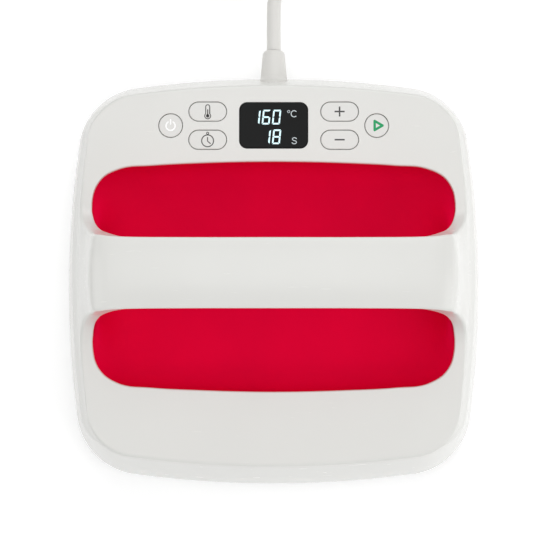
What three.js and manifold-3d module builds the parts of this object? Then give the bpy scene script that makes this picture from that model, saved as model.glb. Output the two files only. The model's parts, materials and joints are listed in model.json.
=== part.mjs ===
// Hand heat press: 229 mm (9 in) heated plate under a domed housing with a tunnel handle.
// Millimetres, +Z up. The plate's working face is z = 0, the user's side is -Y,
// the key deck and the mains lead are at +Y, X runs along the handle.
import * as THREE from 'three';
import Module from 'manifold-3d';

const wasm = await Module();
wasm.setup();
const { Manifold, Mesh: MMesh } = wasm;

// ---------------------------------------------------------------- driving dimensions
const A = 135, B = 133.4;          // half width and half depth of the housing at its widest line
const RA = 643, RB = 680, RC = 43.8; // plan radii: left/right sides, front/back sides, corners
const Z_SKIRT = 13, Z_GIRTH = 20, Z_DECK = 64;
const FLARE = 15.4;                // how far the front, back and corners lean in between girth and deck
const SIDE_BASE = 11.7, FACET = 2.2, FACET_H = 11; // sides: plain lean, then a flared facet under the deck edge
const SIDE_LEAN = SIDE_BASE + FACET; // the lean of the left and right sides at the deck
const SIDE_SKEW = 0.45;            // the sides lean this much less behind the handle and more in front of it
const SHIFT = 1.5;                 // the deck outline sits this much further back than the girth
const WALL = 2.5;                  // housing wall
const GAP = 0.3;                   // clearance between pieces that touch
const R_EDGE = 2.0, R_LIP = 1.2;   // rounding of deck edge and of mouth lip
const Z_RIM = Z_DECK - 0.92 * R_EDGE; // where the walls end and the rounding of the deck edge starts
const HANDLE_TOP = 110.2, HANDLE_CROWN = 1.6, HANDLE_DOME = 2.4;
const LEG_BASE = 46;               // half width of a handle leg where it leaves the wall
const LINER = 2.0;                 // wall of the red tunnel
const PLATE = 114.5, PLATE_R = 38, PLATE_T = 8;
const CORD_R = 4.5, CORD_Z = 40;
const KEY_TRAVEL = 0.6;

// ---------------------------------------------------------------- housing outline
const corner = (() => {
  let x = 85, y = 84;
  for (let i = 0; i < 40; i++) {
    const f1 = (x - (A - RA)) ** 2 + y * y - (RA - RC) ** 2;
    const f2 = x * x + (y - (B - RB)) ** 2 - (RB - RC) ** 2;
    const a = 2 * (x - (A - RA)), b = 2 * y, c = 2 * x, e = 2 * (y - (B - RB));
    const det = a * e - b * c;
    x -= (f1 * e - b * f2) / det;
    y -= (a * f2 - c * f1) / det;
  }
  return [x, y];
})();
const PHI1 = Math.atan2(corner[1], corner[0] - (A - RA));
const PHI2 = Math.PI / 2 - Math.atan2(corner[0], corner[1] - (B - RB));

// point of the outline whose outward normal points at angle phi, moved in by d
function outline(phi, d, sh = 0) {
  const cs = Math.cos(phi), sn = Math.sin(phi);
  const c = Math.abs(cs), s = Math.abs(sn), f = Math.atan2(s, c);
  let x, y;
  if (f < PHI1) { x = A - RA + (RA - d) * c; y = (RA - d) * s; }
  else if (f > PHI2) { x = (RB - d) * c; y = B - RB + (RB - d) * s; }
  else { x = corner[0] + (RC - d) * c; y = corner[1] + (RC - d) * s; }
  return [cs < 0 ? -x : x, (sn < 0 ? -y : y) + sh];
}
const smooth = (x, a, b) => { const t = Math.min(1, Math.max(0, (x - a) / (b - a))); return t * t * (3 - 2 * t); };
const skew = v => { const t = Math.min(1, Math.max(-1, v)); return SIDE_SKEW * (1.5 * t - 0.5 * t ** 3); };
const offAxis = phi => Math.atan2(Math.abs(Math.sin(phi)), Math.abs(Math.cos(phi)));
const facetPart = phi => 1 - smooth(offAxis(phi), 0.14, 1.05); // 1 along the sides, nothing past the corners
function leanAt(z, phi) {
  if (z < Z_GIRTH) return 0.9 * ((Z_GIRTH - z) / (Z_GIRTH - Z_SKIRT)) ** 2;
  const k = facetPart(phi), side = SIDE_LEAN - skew(Math.sin(phi) * (RA - SIDE_LEAN) / LEG_BASE);
  const edge = side + (FLARE - side) * smooth(offAxis(phi), PHI1, 0.9);
  let lean = (edge - FACET * k) * ((z - Z_GIRTH) / (Z_DECK - Z_GIRTH)) ** 1.2;
  if (k > 1e-6 && z > Z_DECK - FACET_H * k) lean += FACET * k * (1 - ((Z_DECK - z) / (FACET_H * k)) ** 1.6);
  return lean;
}
function rowHeight(z, phi) { // levels the wall rows with the lower edge of the facet
  const zk = Math.min(Z_DECK - FACET_H * facetPart(phi), 61.4), z1 = Z_DECK - FACET_H;
  if (z <= Z_GIRTH) return z;
  if (z <= z1) return Z_GIRTH + (z - Z_GIRTH) * (zk - Z_GIRTH) / (z1 - Z_GIRTH);
  return zk + (z - z1) * (Z_RIM - zk) / (Z_RIM - z1);
}
const shiftAt = z => z > Z_GIRTH ? SHIFT * (z - Z_GIRTH) / (Z_DECK - Z_GIRTH) : 0;
const wallPoint = (phi, z, inset = 0) => {
  const [x, y] = outline(phi, leanAt(z, phi) + inset, shiftAt(z));
  return [x, y, z];
};

// ---------------------------------------------------------------- small vector kit
const V = {
  add: (a, b) => a.map((v, i) => v + b[i]), sub: (a, b) => a.map((v, i) => v - b[i]),
  mul: (a, k) => a.map(v => v * k), dot: (a, b) => a[0] * b[0] + a[1] * b[1] + a[2] * b[2],
  cross: (a, b) => [a[1] * b[2] - a[2] * b[1], a[2] * b[0] - a[0] * b[2], a[0] * b[1] - a[1] * b[0]],
  unit: a => { const l = Math.hypot(...a) || 1; return a.map(v => v / l); },
  mix: (a, b, t) => a.map((v, i) => v + (b[i] - v) * t),
};

// cubic through points, chord-length spaced, evaluated at index + fraction
function spline(P, startT = null, endT = null) {
  const n = P.length, L = [0];
  for (let i = 1; i < n; i++) L.push(L[i - 1] + Math.hypot(...V.sub(P[i], P[i - 1])));
  const T = P.map((p, i) => {
    if (i === 0) return startT || V.mul(V.sub(P[1], P[0]), 1 / (L[1] - L[0]));
    if (i === n - 1) return endT || V.mul(V.sub(P[n - 1], P[n - 2]), 1 / (L[n - 1] - L[n - 2]));
    const h0 = L[i] - L[i - 1], h1 = L[i + 1] - L[i];
    const d0 = V.mul(V.sub(P[i], P[i - 1]), 1 / h0), d1 = V.mul(V.sub(P[i + 1], P[i]), 1 / h1);
    return V.add(V.mul(d0, h1 / (h0 + h1)), V.mul(d1, h0 / (h0 + h1)));
  });
  return s => {
    const i = Math.min(n - 2, Math.max(0, Math.floor(s))), t = s - i, h = L[i + 1] - L[i];
    const t2 = t * t, t3 = t2 * t;
    const a = 2 * t3 - 3 * t2 + 1, b = t3 - 2 * t2 + t, c = -2 * t3 + 3 * t2, e = t3 - t2;
    return P[i].map((_, k) => a * P[i][k] + b * h * T[i][k] + c * P[i + 1][k] + e * h * T[i + 1][k]);
  };
}

// ---------------------------------------------------------------- handle strap
// centre line of the strap in the XZ plane, from the deck up the leg and round on to the nearly flat top
const legCurve = spline([[A - SIDE_LEAN, Z_DECK], [113.5, 85.0], [108.7, 100.0], [107.45, 104.0], [105.5, 106.9], [101.5, 108.75],
  [92.0, 109.72], [80.0, HANDLE_TOP]], [-0.34, 0.94], [-1.0, 0.04]);
function legPoint(t) {
  const e = 0.002;
  return [legCurve(7 * t), V.sub(legCurve(Math.min(7, 7 * t + e)), legCurve(Math.max(0, 7 * t - e)))];
}
function legAtHeight(z) {
  let lo = 0, hi = 1;
  for (let i = 0; i < 50; i++) { const m = (lo + hi) / 2; legPoint(m)[0][1] < z ? lo = m : hi = m; }
  return (lo + hi) / 2;
}
// knots 7..13 run from the leg's foot to the middle of the handle: height and half width of the strap
const legEdge = spline([[Z_DECK, LEG_BASE], [69.5, 33.0], [81, 26.2], [98, 23.7], [108.4, 22.4]], [0, -1]);
const topHalf = (x, x0) => { // half width of the handle's top
  const t = Math.max(0, x - 40) / (x0 - 40);
  return 20.8 + 0.2 * t + 1.4 * t ** 8;
};
function strapRow(s) { // s in 7..13
  if (s <= 11) {
    const [z, w] = legEdge(s - 7);
    const t = s === 7 ? 0 : legAtHeight(z), [p, d] = legPoint(t);
    const l = Math.hypot(...d);
    return { x: p[0], z: s === 7 ? Z_DECK : p[1], w, n: [d[1] / l, -d[0] / l] };
  }
  const t0 = legAtHeight(108.4), x0 = legPoint(t0)[0][0];
  const xs = s <= 12 ? x0 + (45 - x0) * (s - 11) : 45 * (13 - s);
  if (xs > 80) { // last bit of the bezier
    let lo = t0, hi = 1;
    for (let i = 0; i < 50; i++) { const m = (lo + hi) / 2; legPoint(m)[0][0] > xs ? lo = m : hi = m; }
    const [p, d] = legPoint(lo), l = Math.hypot(...d);
    return { x: p[0], z: p[1], w: topHalf(xs, x0), n: [d[1] / l, -d[0] / l] };
  }
  const z = HANDLE_TOP + HANDLE_CROWN * (1 - (xs / 80) ** 2), sl = 2 * HANDLE_CROWN * xs / 6400;
  const l = Math.hypot(sl, 1);
  return { x: xs, z, w: topHalf(xs, x0), n: [sl / l, 1 / l] };
}
function strapPoint(s, yrel) { // right half; yrel from the strap's own middle
  const r = strapRow(s), u = yrel / r.w, b = smooth(r.z, Z_DECK, 86);
  const foot = (skew(yrel / LEG_BASE) - yrel * yrel / (2 * (RA - SIDE_LEAN))) * (1 - b);
  const dx = -r.n[0] * HANDLE_DOME * b, dz = -r.n[1] * HANDLE_DOME * b;
  const sh = SHIFT * (1 - smooth(r.z, Z_DECK, 104));
  return [r.x + foot + dx * u * u, yrel + sh, r.z + dz * u * u];
}

// ---------------------------------------------------------------- deck edge C and mouth edge M
const phiOfX = x => Math.acos(x / (RB - FLARE));
const phiOfY = y => Math.asin(y / (RA - SIDE_LEAN));
const PHI_K = [Math.PI / 2, phiOfX(45), phiOfX(78), PHI2 - 0.22 * (PHI2 - PHI1), PHI2 - 0.56 * (PHI2 - PHI1),
  PHI1 + 0.12 * (PHI2 - PHI1), phiOfY(62), phiOfY(LEG_BASE)];
function edgeC(s, side) { // s in 0..13, right half; side +1 back, -1 front
  if (s <= 7) {
    const i = Math.min(6, Math.floor(s)), phi = PHI_K[i] + (PHI_K[i + 1] - PHI_K[i]) * (s - i);
    return wallPoint(side * phi, Z_DECK);
  }
  const r = strapRow(s);
  return strapPoint(s, side * r.w);
}
// height and backward offset of the mouth's edge at each knot, then its x and half depth for the back and the front mouth
const mouthZ = [[64, 0], [64, 0], [64, 0], [64, 0], [64, 0], [64, 0], [64, 0.3], [64.4, 0.8], [67.2, 1.6], [75, 1.5],
  [85.5, 0.8], [94, 0.3], [96.9, 0], [97.3, 0]];
const mouthBack = [[0, 71.6], [45, 70.7], [76, 69.1], [94.8, 67.3], [106.5, 61.4], [111.3, 54.0], [112.8, 46.4], [112.5, 39.7],
  [110.4, 32.7], [106.0, 27.5], [98.1, 24.1], [86, 21.1], [45, 19.2], [0, 19.2]];
const mouthFront = [[0, 71.2], [45, 70.2], [76, 68.6], [94.6, 66.4], [105.2, 60.2], [109.8, 53.3], [111.5, 46.1], [111.6, 39.7],
  [110.0, 32.8], [105.9, 27.6], [98.3, 23.5], [86, 20.8], [45, 19.2], [0, 19.2]];
const mouthCurve = k => spline(k.map((p, i) => [...p, ...mouthZ[i]]), [1, 0, 0, 0], [-1, 0, 0, 0]);
const mouthS = { 1: mouthCurve(mouthBack), '-1': mouthCurve(mouthFront) };
function edgeM(s, side) {
  const m = mouthS[side](s);
  return [m[0], side * m[1] + m[3], s <= 6 ? Z_DECK : m[2]];
}
const midK = [[0, 34], [43, 34], [71, 34.2], [85.5, 35.4], [93, 38.6], [98.6, 43.6], [102.4, 50.4], [104.4, 58],
  [104.6, 66.5], [102.4, 76.5], [95.8, 86.8], [84, 92.8], [45, 95.2], [0, 95.5]];
const midS = spline(midK, [1, 0], [-1, 0]);

// whole loops: s in 0..26, the left half mirrors the right one
const wrap = s => ((s % 26) + 26) % 26;
function mirrored(fn, s, ...rest) {
  s = wrap(s);
  if (s <= 13) return fn(s, ...rest);
  const p = fn(26 - s, ...rest);
  return [-p[0], p[1], p[2]];
}
const C = (s, side) => mirrored(edgeC, s, side);
const M = (s, side) => mirrored(edgeM, s, side);
const MID = s => mirrored(q => { const m = midS(q); return [m[0], 0, m[1]]; }, s);
function rimNormal(s, side) { // upward on the decks, outward on the handle's faces
  const e = 0.02, f = wrap(s);
  if (f <= 6 || f >= 20) return [0, 0, 1];
  const d = V.sub(M(s + e, side), M(s - e, side)), c = V.sub(C(s, side), M(s, side));
  let n = V.unit(V.cross(c, d));
  if (n[2] * 0.5 + n[1] * side < 0) n = V.mul(n, -1);
  return n;
}

// ---------------------------------------------------------------- mesh builder
class Body {
  constructor() { this.v = []; this.t = []; }
  add(p) { this.v.push(p); return this.v.length - 1; }
  tri(a, b, c) { if (a !== b && b !== c && a !== c) this.t.push([a, b, c]); }
  quad(a, b, c, d) { this.tri(a, b, c); this.tri(a, c, d); }
  volume() {
    let s = 0;
    for (const [a, b, c] of this.t) s += V.dot(this.v[a], V.cross(this.v[b], this.v[c]));
    return s / 6;
  }
  manifold() {
    if (this.volume() < 0) this.t = this.t.map(([a, b, c]) => [a, c, b]);
    const m = new Manifold(new MMesh({ numProp: 3, vertProperties: new Float32Array(this.v.flat()),
      triVerts: new Uint32Array(this.t.flat()) }));
    return m;
  }
}
function toGeometry(m) {
  const q = m.getMesh(), g = new THREE.BufferGeometry(), n = q.numProp, p = new Float32Array(q.vertProperties.length / n * 3);
  for (let i = 0; i < p.length / 3; i++) for (let k = 0; k < 3; k++) p[i * 3 + k] = q.vertProperties[i * n + k];
  g.setAttribute('position', new THREE.BufferAttribute(p, 3));
  g.setIndex(new THREE.BufferAttribute(new Uint32Array(q.triVerts), 1));
  const flat = g.toNonIndexed();
  flat.computeVertexNormals();
  return flat;
}

// ---------------------------------------------------------------- housing shell
const STEPS = [2, 2, 1, 2, 2, 1, 1, 3, 2, 2, 3, 3, 1]; // samples between knots
const sRight = [];
STEPS.forEach((n, k) => { for (let i = 0; i < n; i++) sRight.push(k + i / n); });
sRight.push(13);
const LOOP = [...sRight, ...sRight.slice(1, -1).reverse().map(s => 26 - s)];

function housing() {
  const b = new Body(), out = [], inn = []; // out[i] -> matching inner vertex
  const zTop = Z_RIM, zRows = [Z_SKIRT, 16.5, Z_GIRTH, 31, 42, 53, 57.5, zTop];
  const U = [-0.6, -0.2, 0.2, 0.6];
  // columns of the wall, anticlockwise seen from above
  const cols = [];
  const foot = side => U.map(u => ({ y: u * LEG_BASE })).concat([]);
  const ue = 1 - R_EDGE / LEG_BASE;
  const baseU = [-ue, ...U, ue];
  const deckS = LOOP.filter(s => s <= 7 || s >= 19);
  const backRight = deckS.filter(s => s <= 7).slice().reverse(); // 7..0
  const backLeft = deckS.filter(s => s >= 19).slice().reverse(); // 25..19
  baseU.forEach(u => cols.push({ kind: 'foot', u, mir: false }));
  backRight.forEach(s => cols.push({ kind: 'deck', s, side: 1 }));
  backLeft.forEach(s => cols.push({ kind: 'deck', s, side: 1 }));
  baseU.slice().reverse().forEach(u => cols.push({ kind: 'foot', u, mir: true }));
  backLeft.slice().reverse().forEach(s => cols.push({ kind: 'deck', s, side: -1 }));
  backRight.slice().reverse().forEach(s => cols.push({ kind: 'deck', s, side: -1 }));
  const phiOfS = s => { const q = s <= 13 ? s : 26 - s, i = Math.min(6, Math.floor(q)); return PHI_K[i] + (PHI_K[i + 1] - PHI_K[i]) * (q - i); };
  const grid = zRows.map(z => cols.map(c => {
    let phi;
    if (c.kind === 'foot') { phi = Math.asin(c.u * LEG_BASE / (RA - SIDE_LEAN)); if (c.mir) phi = Math.PI - phi; }
    else { phi = phiOfS(c.s); if (c.s > 13) phi = Math.PI - phi; if (c.side < 0) phi = -phi; }
    return b.add(wallPoint(phi, z === zTop ? z : rowHeight(z, phi)));
  }));
  const nC = cols.length;
  for (let i = 0; i < zRows.length - 1; i++)
    for (let j = 0; j < nC; j++) {
      const k = (j + 1) % nC;
      b.quad(grid[i][j], grid[i][k], grid[i + 1][k], grid[i + 1][j]);
    }
  const top = grid[grid.length - 1];
  // strap rows from the right foot over the top to the left foot
  const sStrap = LOOP.filter(s => s >= 7 && s <= 19);
  const strap = sStrap.map(s => {
    const q = s <= 13 ? s : 26 - s, w = strapRow(q).w, e = w - R_EDGE;
    return [-e, ...U.map(u => u * w), e].map(y => {
      const p = strapPoint(q, y);
      return b.add(s <= 13 ? p : [-p[0], p[1], p[2]]);
    });
  });
  for (let i = 0; i < strap.length - 1; i++)
    for (let j = 0; j < strap[0].length - 1; j++)
      b.quad(strap[i][j], strap[i][j + 1], strap[i + 1][j + 1], strap[i + 1][j]);
  const idx = (kind, test) => cols.findIndex(c => c.kind === kind && test(c));
  const rf = idx('foot', c => !c.mir && c.u === -ue), lf = idx('foot', c => c.mir && c.u === ue);
  for (let j = 0; j < baseU.length - 1; j++) {
    b.quad(top[rf + j], top[rf + j + 1], strap[0][j + 1], strap[0][j]);
    const n = strap.length - 1, m = baseU.length - 1;
    b.quad(top[lf + j], top[lf + j + 1], strap[n][m - j - 1], strap[n][m - j]);
  }
  const colOf = (s, side) => idx('deck', c => Math.abs(c.s - s) < 1e-9 && c.side === side);
  // corner triangles between wall, foot and first strap row
  const last = strap.length - 1, eb = baseU.length - 1;
  const kBR = top[colOf(7, 1)], kFR = top[colOf(7, -1)], kBL = top[colOf(19, 1)], kFL = top[colOf(19, -1)];
  b.tri(top[rf + eb], kBR, strap[0][eb]); b.tri(kBR, strap[1][eb], strap[0][eb]);
  b.tri(kFR, top[rf], strap[0][0]); b.tri(kFR, strap[0][0], strap[1][0]);
  b.tri(kBL, top[lf], strap[last][eb]); b.tri(kBL, strap[last][eb], strap[last - 1][eb]);
  b.tri(top[lf + eb], kFL, strap[last][0]); b.tri(kFL, strap[last - 1][0], strap[last][0]);

  // smooth normals of this outer skin
  const nv = b.v.length, N = Array.from({ length: nv }, () => [0, 0, 0]);
  for (const [p, q, r] of b.t) {
    const n = V.cross(V.sub(b.v[q], b.v[p]), V.sub(b.v[r], b.v[p]));
    for (const k of [p, q, r]) N[k] = V.add(N[k], n);
  }
  const skin = b.t.length;
  const inner = new Array(nv).fill(-1);

  // rim strips and lips round both mouths
  for (const side of [1, -1]) {
    const stripsOut = [], stripsIn = [];
    for (const s of LOOP) {
      const onDeck = s <= 7 || s >= 19;
      const row = onDeck ? -1 : sStrap.findIndex(q => Math.abs(q - s) < 1e-9);
      const pa = onDeck ? top[colOf(s, side)] : strap[row][side > 0 ? eb : 0];
      const c = C(s, side), m = M(s, side), n = rimNormal(s, side), toM = V.unit(V.sub(m, c));
      const Pa = b.v[pa], Pb = V.add(c, V.mul(toM, R_EDGE)), Ma = V.sub(m, V.mul(toM, R_LIP)), Mb = V.sub(m, V.mul(n, R_LIP));
      const bez = (p, q, r, t) => V.add(V.add(V.mul(p, (1 - t) ** 2), V.mul(q, 2 * t * (1 - t))), V.mul(r, t * t));
      const Min = V.sub(m, V.mul(n, WALL));
      const n1 = V.unit(N[pa]);
      const inC = V.sub(c, V.mul(V.add(n1, n), WALL / Math.max(0.6, 1 + V.dot(n1, n))));
      const midOut = V.mix(Pb, Ma, 0.5), midIn = V.sub(midOut, V.mul(n, WALL));
      const iMin = b.add(Min), iC = b.add(inC);
      inner[pa] = iC;
      stripsOut.push([pa, b.add(bez(Pa, c, Pb, 0.5)), b.add(Pb), b.add(midOut), b.add(Ma), b.add(bez(Ma, m, Mb, 0.5)), b.add(Mb), iMin]);
      stripsIn.push([iC, b.add(midIn), iMin]);
    }
    const n = LOOP.length;
    for (let i = 0; i < n; i++) {
      const k = (i + 1) % n;
      for (const [S, inside] of [[stripsOut, false], [stripsIn, true]])
        for (let j = 0; j < S[0].length - 1; j++) {
          const q = [S[i][j], S[k][j], S[k][j + 1], S[i][j + 1]];
          if ((side > 0) === inside) b.quad(q[0], q[1], q[2], q[3]); else b.quad(q[3], q[2], q[1], q[0]);
        }
    }
  }
  // inner skin: same faces, other way round
  for (let i = 0; i < nv; i++) {
    if (inner[i] >= 0) continue;
    const z = b.v[i][2], n = V.unit(N[i]);
    let p = V.sub(b.v[i], V.mul(n, WALL));
    if (z === Z_SKIRT) { const h = V.unit([n[0], n[1], 0]); p = V.sub(b.v[i], V.mul(h, WALL)); }
    inner[i] = b.add(p);
  }
  for (let i = 0; i < skin; i++) { const [p, q, r] = b.t[i]; b.tri(inner[p], inner[r], inner[q]); }
  for (let j = 0; j < nC; j++) { const k = (j + 1) % nC; b.quad(grid[0][k], grid[0][j], inner[grid[0][j]], inner[grid[0][k]]); }
  return b;
}

// ---------------------------------------------------------------- tunnel liner pieces
const SE = 2 / 3.0; // profile exponent from mouth to tunnel middle
function tunnelPoint(s, th) { // th in -90..90 degrees: front mouth to back mouth
  const side = th >= 0 ? 1 : -1;
  const m = M(s, side), c = C(s, side), n = rimNormal(s, side), out = V.unit(V.sub(c, m));
  const q = wrap(s), onDeck = q <= 6.5 || q >= 19.5;
  const start = V.add(V.sub(m, V.mul(n, WALL + (onDeck ? 0.35 : 0.8))), V.mul(out, onDeck ? 0.6 : 0.2));
  const mid = MID(s), k = Math.abs(th) * Math.PI / 180;
  const f = Math.cos(k) ** SE, g = Math.sin(k) ** SE;
  return [start[0] + (mid[0] - start[0]) * f, start[1] * g, start[2] + (mid[2] - start[2]) * f];
}
function linerPiece(sList, ths) {
  const b = new Body(), o = [], n = sList.length, m = ths.length;
  const P = sList.map(s => ths.map(t => tunnelPoint(s, t)));
  const face = P.map(r => r.map(p => b.add(p)));
  const nor = P.map((r, i) => r.map((p, j) => {
    const e = 0.03, h = 0.6, q = sList[i], t = ths[j];
    const a = V.sub(tunnelPoint(q + e, t), tunnelPoint(q - e, t));
    const c = V.sub(tunnelPoint(q, Math.min(90, t + h)), tunnelPoint(q, Math.max(-90, t - h)));
    return V.unit(V.cross(a, c));
  }));
  // the second skin lies outside the tunnel
  const back = P.map((r, i) => r.map((p, j) => b.add(V.sub(p, V.mul(nor[i][j], LINER)))));
  for (let i = 0; i < n - 1; i++) for (let j = 0; j < m - 1; j++) {
    b.quad(face[i][j], face[i + 1][j], face[i + 1][j + 1], face[i][j + 1]);
    b.quad(back[i][j + 1], back[i + 1][j + 1], back[i + 1][j], back[i][j]);
  }
  for (let i = 0; i < n - 1; i++) {
    b.quad(face[i + 1][0], face[i][0], back[i][0], back[i + 1][0]);
    b.quad(face[i][m - 1], face[i + 1][m - 1], back[i + 1][m - 1], back[i][m - 1]);
  }
  for (let j = 0; j < m - 1; j++) {
    b.quad(face[0][j + 1], back[0][j + 1], back[0][j], face[0][j]);
    b.quad(face[n - 1][j + 1], face[n - 1][j], back[n - 1][j], back[n - 1][j + 1]);
  }
  return b;
}
const SEAM = 8.5, SG = 0.045;
const sBowl = [...LOOP.filter(s => s > 26 - SEAM + 0.01).map(s => s - 26), ...LOOP.filter(s => s < SEAM - 0.01)];
sBowl.unshift(-(SEAM - SG)); sBowl.push(SEAM - SG);
const sGrip = [SEAM + SG, ...LOOP.filter(s => s > SEAM + 0.01 && s < 26 - SEAM - 0.01), 26 - SEAM - SG];
const half = [0, 18, 38, 58, 76, 90];
const THS = [...half.slice(1).reverse().map(t => -t), ...half];

// ---------------------------------------------------------------- generic solids
const roundRect = (hx, hy, r, n = 5) => {
  const p = [];
  for (const [sx, sy, a0] of [[1, 1, 0], [-1, 1, 90], [-1, -1, 180], [1, -1, 270]])
    for (let i = 0; i <= n; i++) {
      const a = (a0 + 90 * i / n) * Math.PI / 180;
      p.push([sx * (hx - r) + r * Math.cos(a), sy * (hy - r) + r * Math.sin(a)]);
    }
  return p;
};
function loft(loops, zs) { // closed loops of equal length, bottom to top
  const b = new Body(), ids = loops.map((L, i) => L.map(p => b.add([p[0], p[1], zs[i]]))), n = loops[0].length;
  for (let i = 0; i < ids.length - 1; i++) for (let j = 0; j < n; j++) {
    const k = (j + 1) % n;
    b.quad(ids[i][j], ids[i][k], ids[i + 1][k], ids[i + 1][j]);
  }
  const cap = (row, z, flip) => {
    const c = b.add([row.reduce((s, i) => s + b.v[i][0], 0) / n, row.reduce((s, i) => s + b.v[i][1], 0) / n, z]);
    for (let j = 0; j < n; j++) { const k = (j + 1) % n; flip ? b.tri(c, row[k], row[j]) : b.tri(c, row[j], row[k]); }
  };
  cap(ids[0], zs[0], true); cap(ids[ids.length - 1], zs[zs.length - 1], false);
  return b.manifold();
}
const slab = (hx, hy, r, z0, z1, n = 6) => loft([roundRect(hx, hy, r, n), roundRect(hx, hy, r, n)], [z0, z1]);
const box = (x0, y0, z0, x1, y1, z1) => Manifold.cube([x1 - x0, y1 - y0, z1 - z0], false).translate([x0, y0, z0]);
const rod = (r, z0, z1, n = 16, x = 0, y = 0, r2 = r) => Manifold.cylinder(z1 - z0, r, r2, n, false).translate([x, y, z0]);
const outlineLoop = (d, sh = 0) => {
  const p = [], phis = [];
  const qs = [0, PHI1 * 0.5, PHI1]; for (let i = 1; i <= 5; i++) qs.push(PHI1 + (PHI2 - PHI1) * i / 5);
  qs.push((PHI2 + Math.PI / 2) / 2, Math.PI / 2);
  for (let q = 0; q < 4; q++) {
    const part = q % 2 ? qs.map(v => Math.PI / 2 - v).reverse() : qs;
    part.slice(0, -1).forEach(v => phis.push(v + q * Math.PI / 2));
  }
  phis.forEach(f => p.push(outline(f, d, sh)));
  return p;
};
// round section swept along points, flat ends
function sweep(P, r, n = 10) {
  const b = new Body(), rings = [];
  let t0 = V.unit(V.sub(P[1], P[0])), u = V.unit(V.cross(t0, Math.abs(t0[2]) < 0.9 ? [0, 0, 1] : [1, 0, 0]));
  P.forEach((p, i) => {
    const t = V.unit(V.sub(P[Math.min(P.length - 1, i + 1)], P[Math.max(0, i - 1)]));
    u = V.unit(V.sub(u, V.mul(t, V.dot(u, t))));
    const w = V.cross(t, u);
    rings.push(Array.from({ length: n }, (_, k) => {
      const a = 2 * Math.PI * k / n;
      return b.add(V.add(p, V.add(V.mul(u, r * Math.cos(a)), V.mul(w, r * Math.sin(a)))));
    }));
  });
  for (let i = 0; i < rings.length - 1; i++) for (let k = 0; k < n; k++) {
    const l = (k + 1) % n; b.quad(rings[i][k], rings[i][l], rings[i + 1][l], rings[i + 1][k]);
  }
  const a = b.add(P[0]), z = b.add(P[P.length - 1]);
  for (let k = 0; k < n; k++) { const l = (k + 1) % n; b.tri(a, rings[0][l], rings[0][k]); b.tri(z, rings[rings.length - 1][k], rings[rings.length - 1][l]); }
  return b.manifold();
}
// polyline with arcs of radius r at its corners
function rounded(P, r, n = 4) {
  const o = [P[0]];
  for (let i = 1; i < P.length - 1; i++) {
    const a = V.unit(V.sub(P[i - 1], P[i])), c = V.unit(V.sub(P[i + 1], P[i]));
    const ang = Math.acos(Math.max(-1, Math.min(1, V.dot(a, c)))), k = r / Math.tan(ang / 2);
    const p = V.add(P[i], V.mul(a, k)), q = V.add(P[i], V.mul(c, k));
    const bis = V.unit(V.add(a, c)), cen = V.add(P[i], V.mul(bis, r / Math.sin(ang / 2)));
    for (let j = 0; j <= n; j++) {
      const t = j / n, d = V.unit(V.mix(V.sub(p, cen), V.sub(q, cen), t));
      o.push(V.add(cen, V.mul(d, r)));
    }
  }
  o.push(P[P.length - 1]);
  return o;
}
const lathe = (prof, n = 24) => { // prof: [radius, height] pairs, ends on the axis, axis = +Z
  const b = new Body(), rows = prof.map(([r, z]) => r < 1e-6 ? [b.add([0, 0, z])] : Array.from({ length: n }, (_, k) => {
    const a = 2 * Math.PI * k / n; return b.add([r * Math.cos(a), r * Math.sin(a), z]);
  }));
  for (let i = 0; i < rows.length - 1; i++) for (let k = 0; k < n; k++) {
    const l = (k + 1) % n, p = rows[i], q = rows[i + 1];
    const P = j => p.length === 1 ? p[0] : p[j], Q = j => q.length === 1 ? q[0] : q[j];
    b.quad(P(k), P(l), Q(l), Q(k));
  }
  return b.manifold();
};

// ---------------------------------------------------------------- assembly
const group = new THREE.Group();
group.name = 'heat_press';
const mats = {};
const mat = (name, color, roughness, metalness = 0) => mats[name] ||= Object.assign(
  new THREE.MeshStandardMaterial({ color, roughness, metalness }), { name });
const WHITE = mat('housing_white', 0xe6e6e2, 0.25), RED = mat('liner_red', 0xc8002a, 0.5),
  GREY = mat('base_grey', 0xb9bab8, 0.55), PLATEM = mat('plate_coating', 0x3a3a3c, 0.45, 0.4),
  STEEL = mat('steel', 0xa8aaad, 0.35, 1), ALU = mat('aluminium', 0xc4c7ca, 0.35, 1), MICA = mat('mica', 0xcdbf9a, 0.8),
  SILI = mat('silicone', 0xd7d4cf, 0.8), PCB = mat('circuit_board', 0x1f6b3a, 0.6), BLACK = mat('black_plastic', 0x1c1c1e, 0.5),
  GLASS = mat('display_glass', 0x1c1e1d, 0.12), KEYM = mat('key_white', 0xe4e4e0, 0.35), CORDM = mat('cord_jacket', 0xd4d3cf, 0.6),
  BRASS = mat('brass', 0xc9a550, 0.3, 1), YELLOW = mat('component_yellow', 0xd9b23c, 0.6), WIRE = mat('wire_sleeve', 0xe7e2d8, 0.7),
  NICKEL = mat('plug_nickel', 0xc9c9c7, 0.25, 1);
function put(name, solid, material) {
  const m = solid.manifold ? solid.manifold() : solid;
  const mesh = new THREE.Mesh(toGeometry(m), material);
  mesh.name = name;
  group.add(mesh);
}

// keys: name, x, y, half width, half height (equal = round)
const KEYS = [['power', -64.2, 94.05, 7.7, 7.7], ['temperature', -41.1, 102.85, 12.05, 6.3], ['timer', -41.1, 85.15, 12.05, 6.3],
  ['plus', 41.1, 102.85, 12.05, 6.3], ['minus', 41.1, 85.15, 12.05, 6.3], ['start', 64.2, 94.05, 7.7, 7.7]];
const WIN = [0, 94.2, 21.5, 14.6, 5]; // display window centre, half size, corner radius
const keyLoop = (k, grow, n = 4) => roundRect(k[3] + grow, k[4] + grow, k[4] + grow - 0.001, n).map(p => [p[0] + k[1], p[1] + k[2]]);

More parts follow.
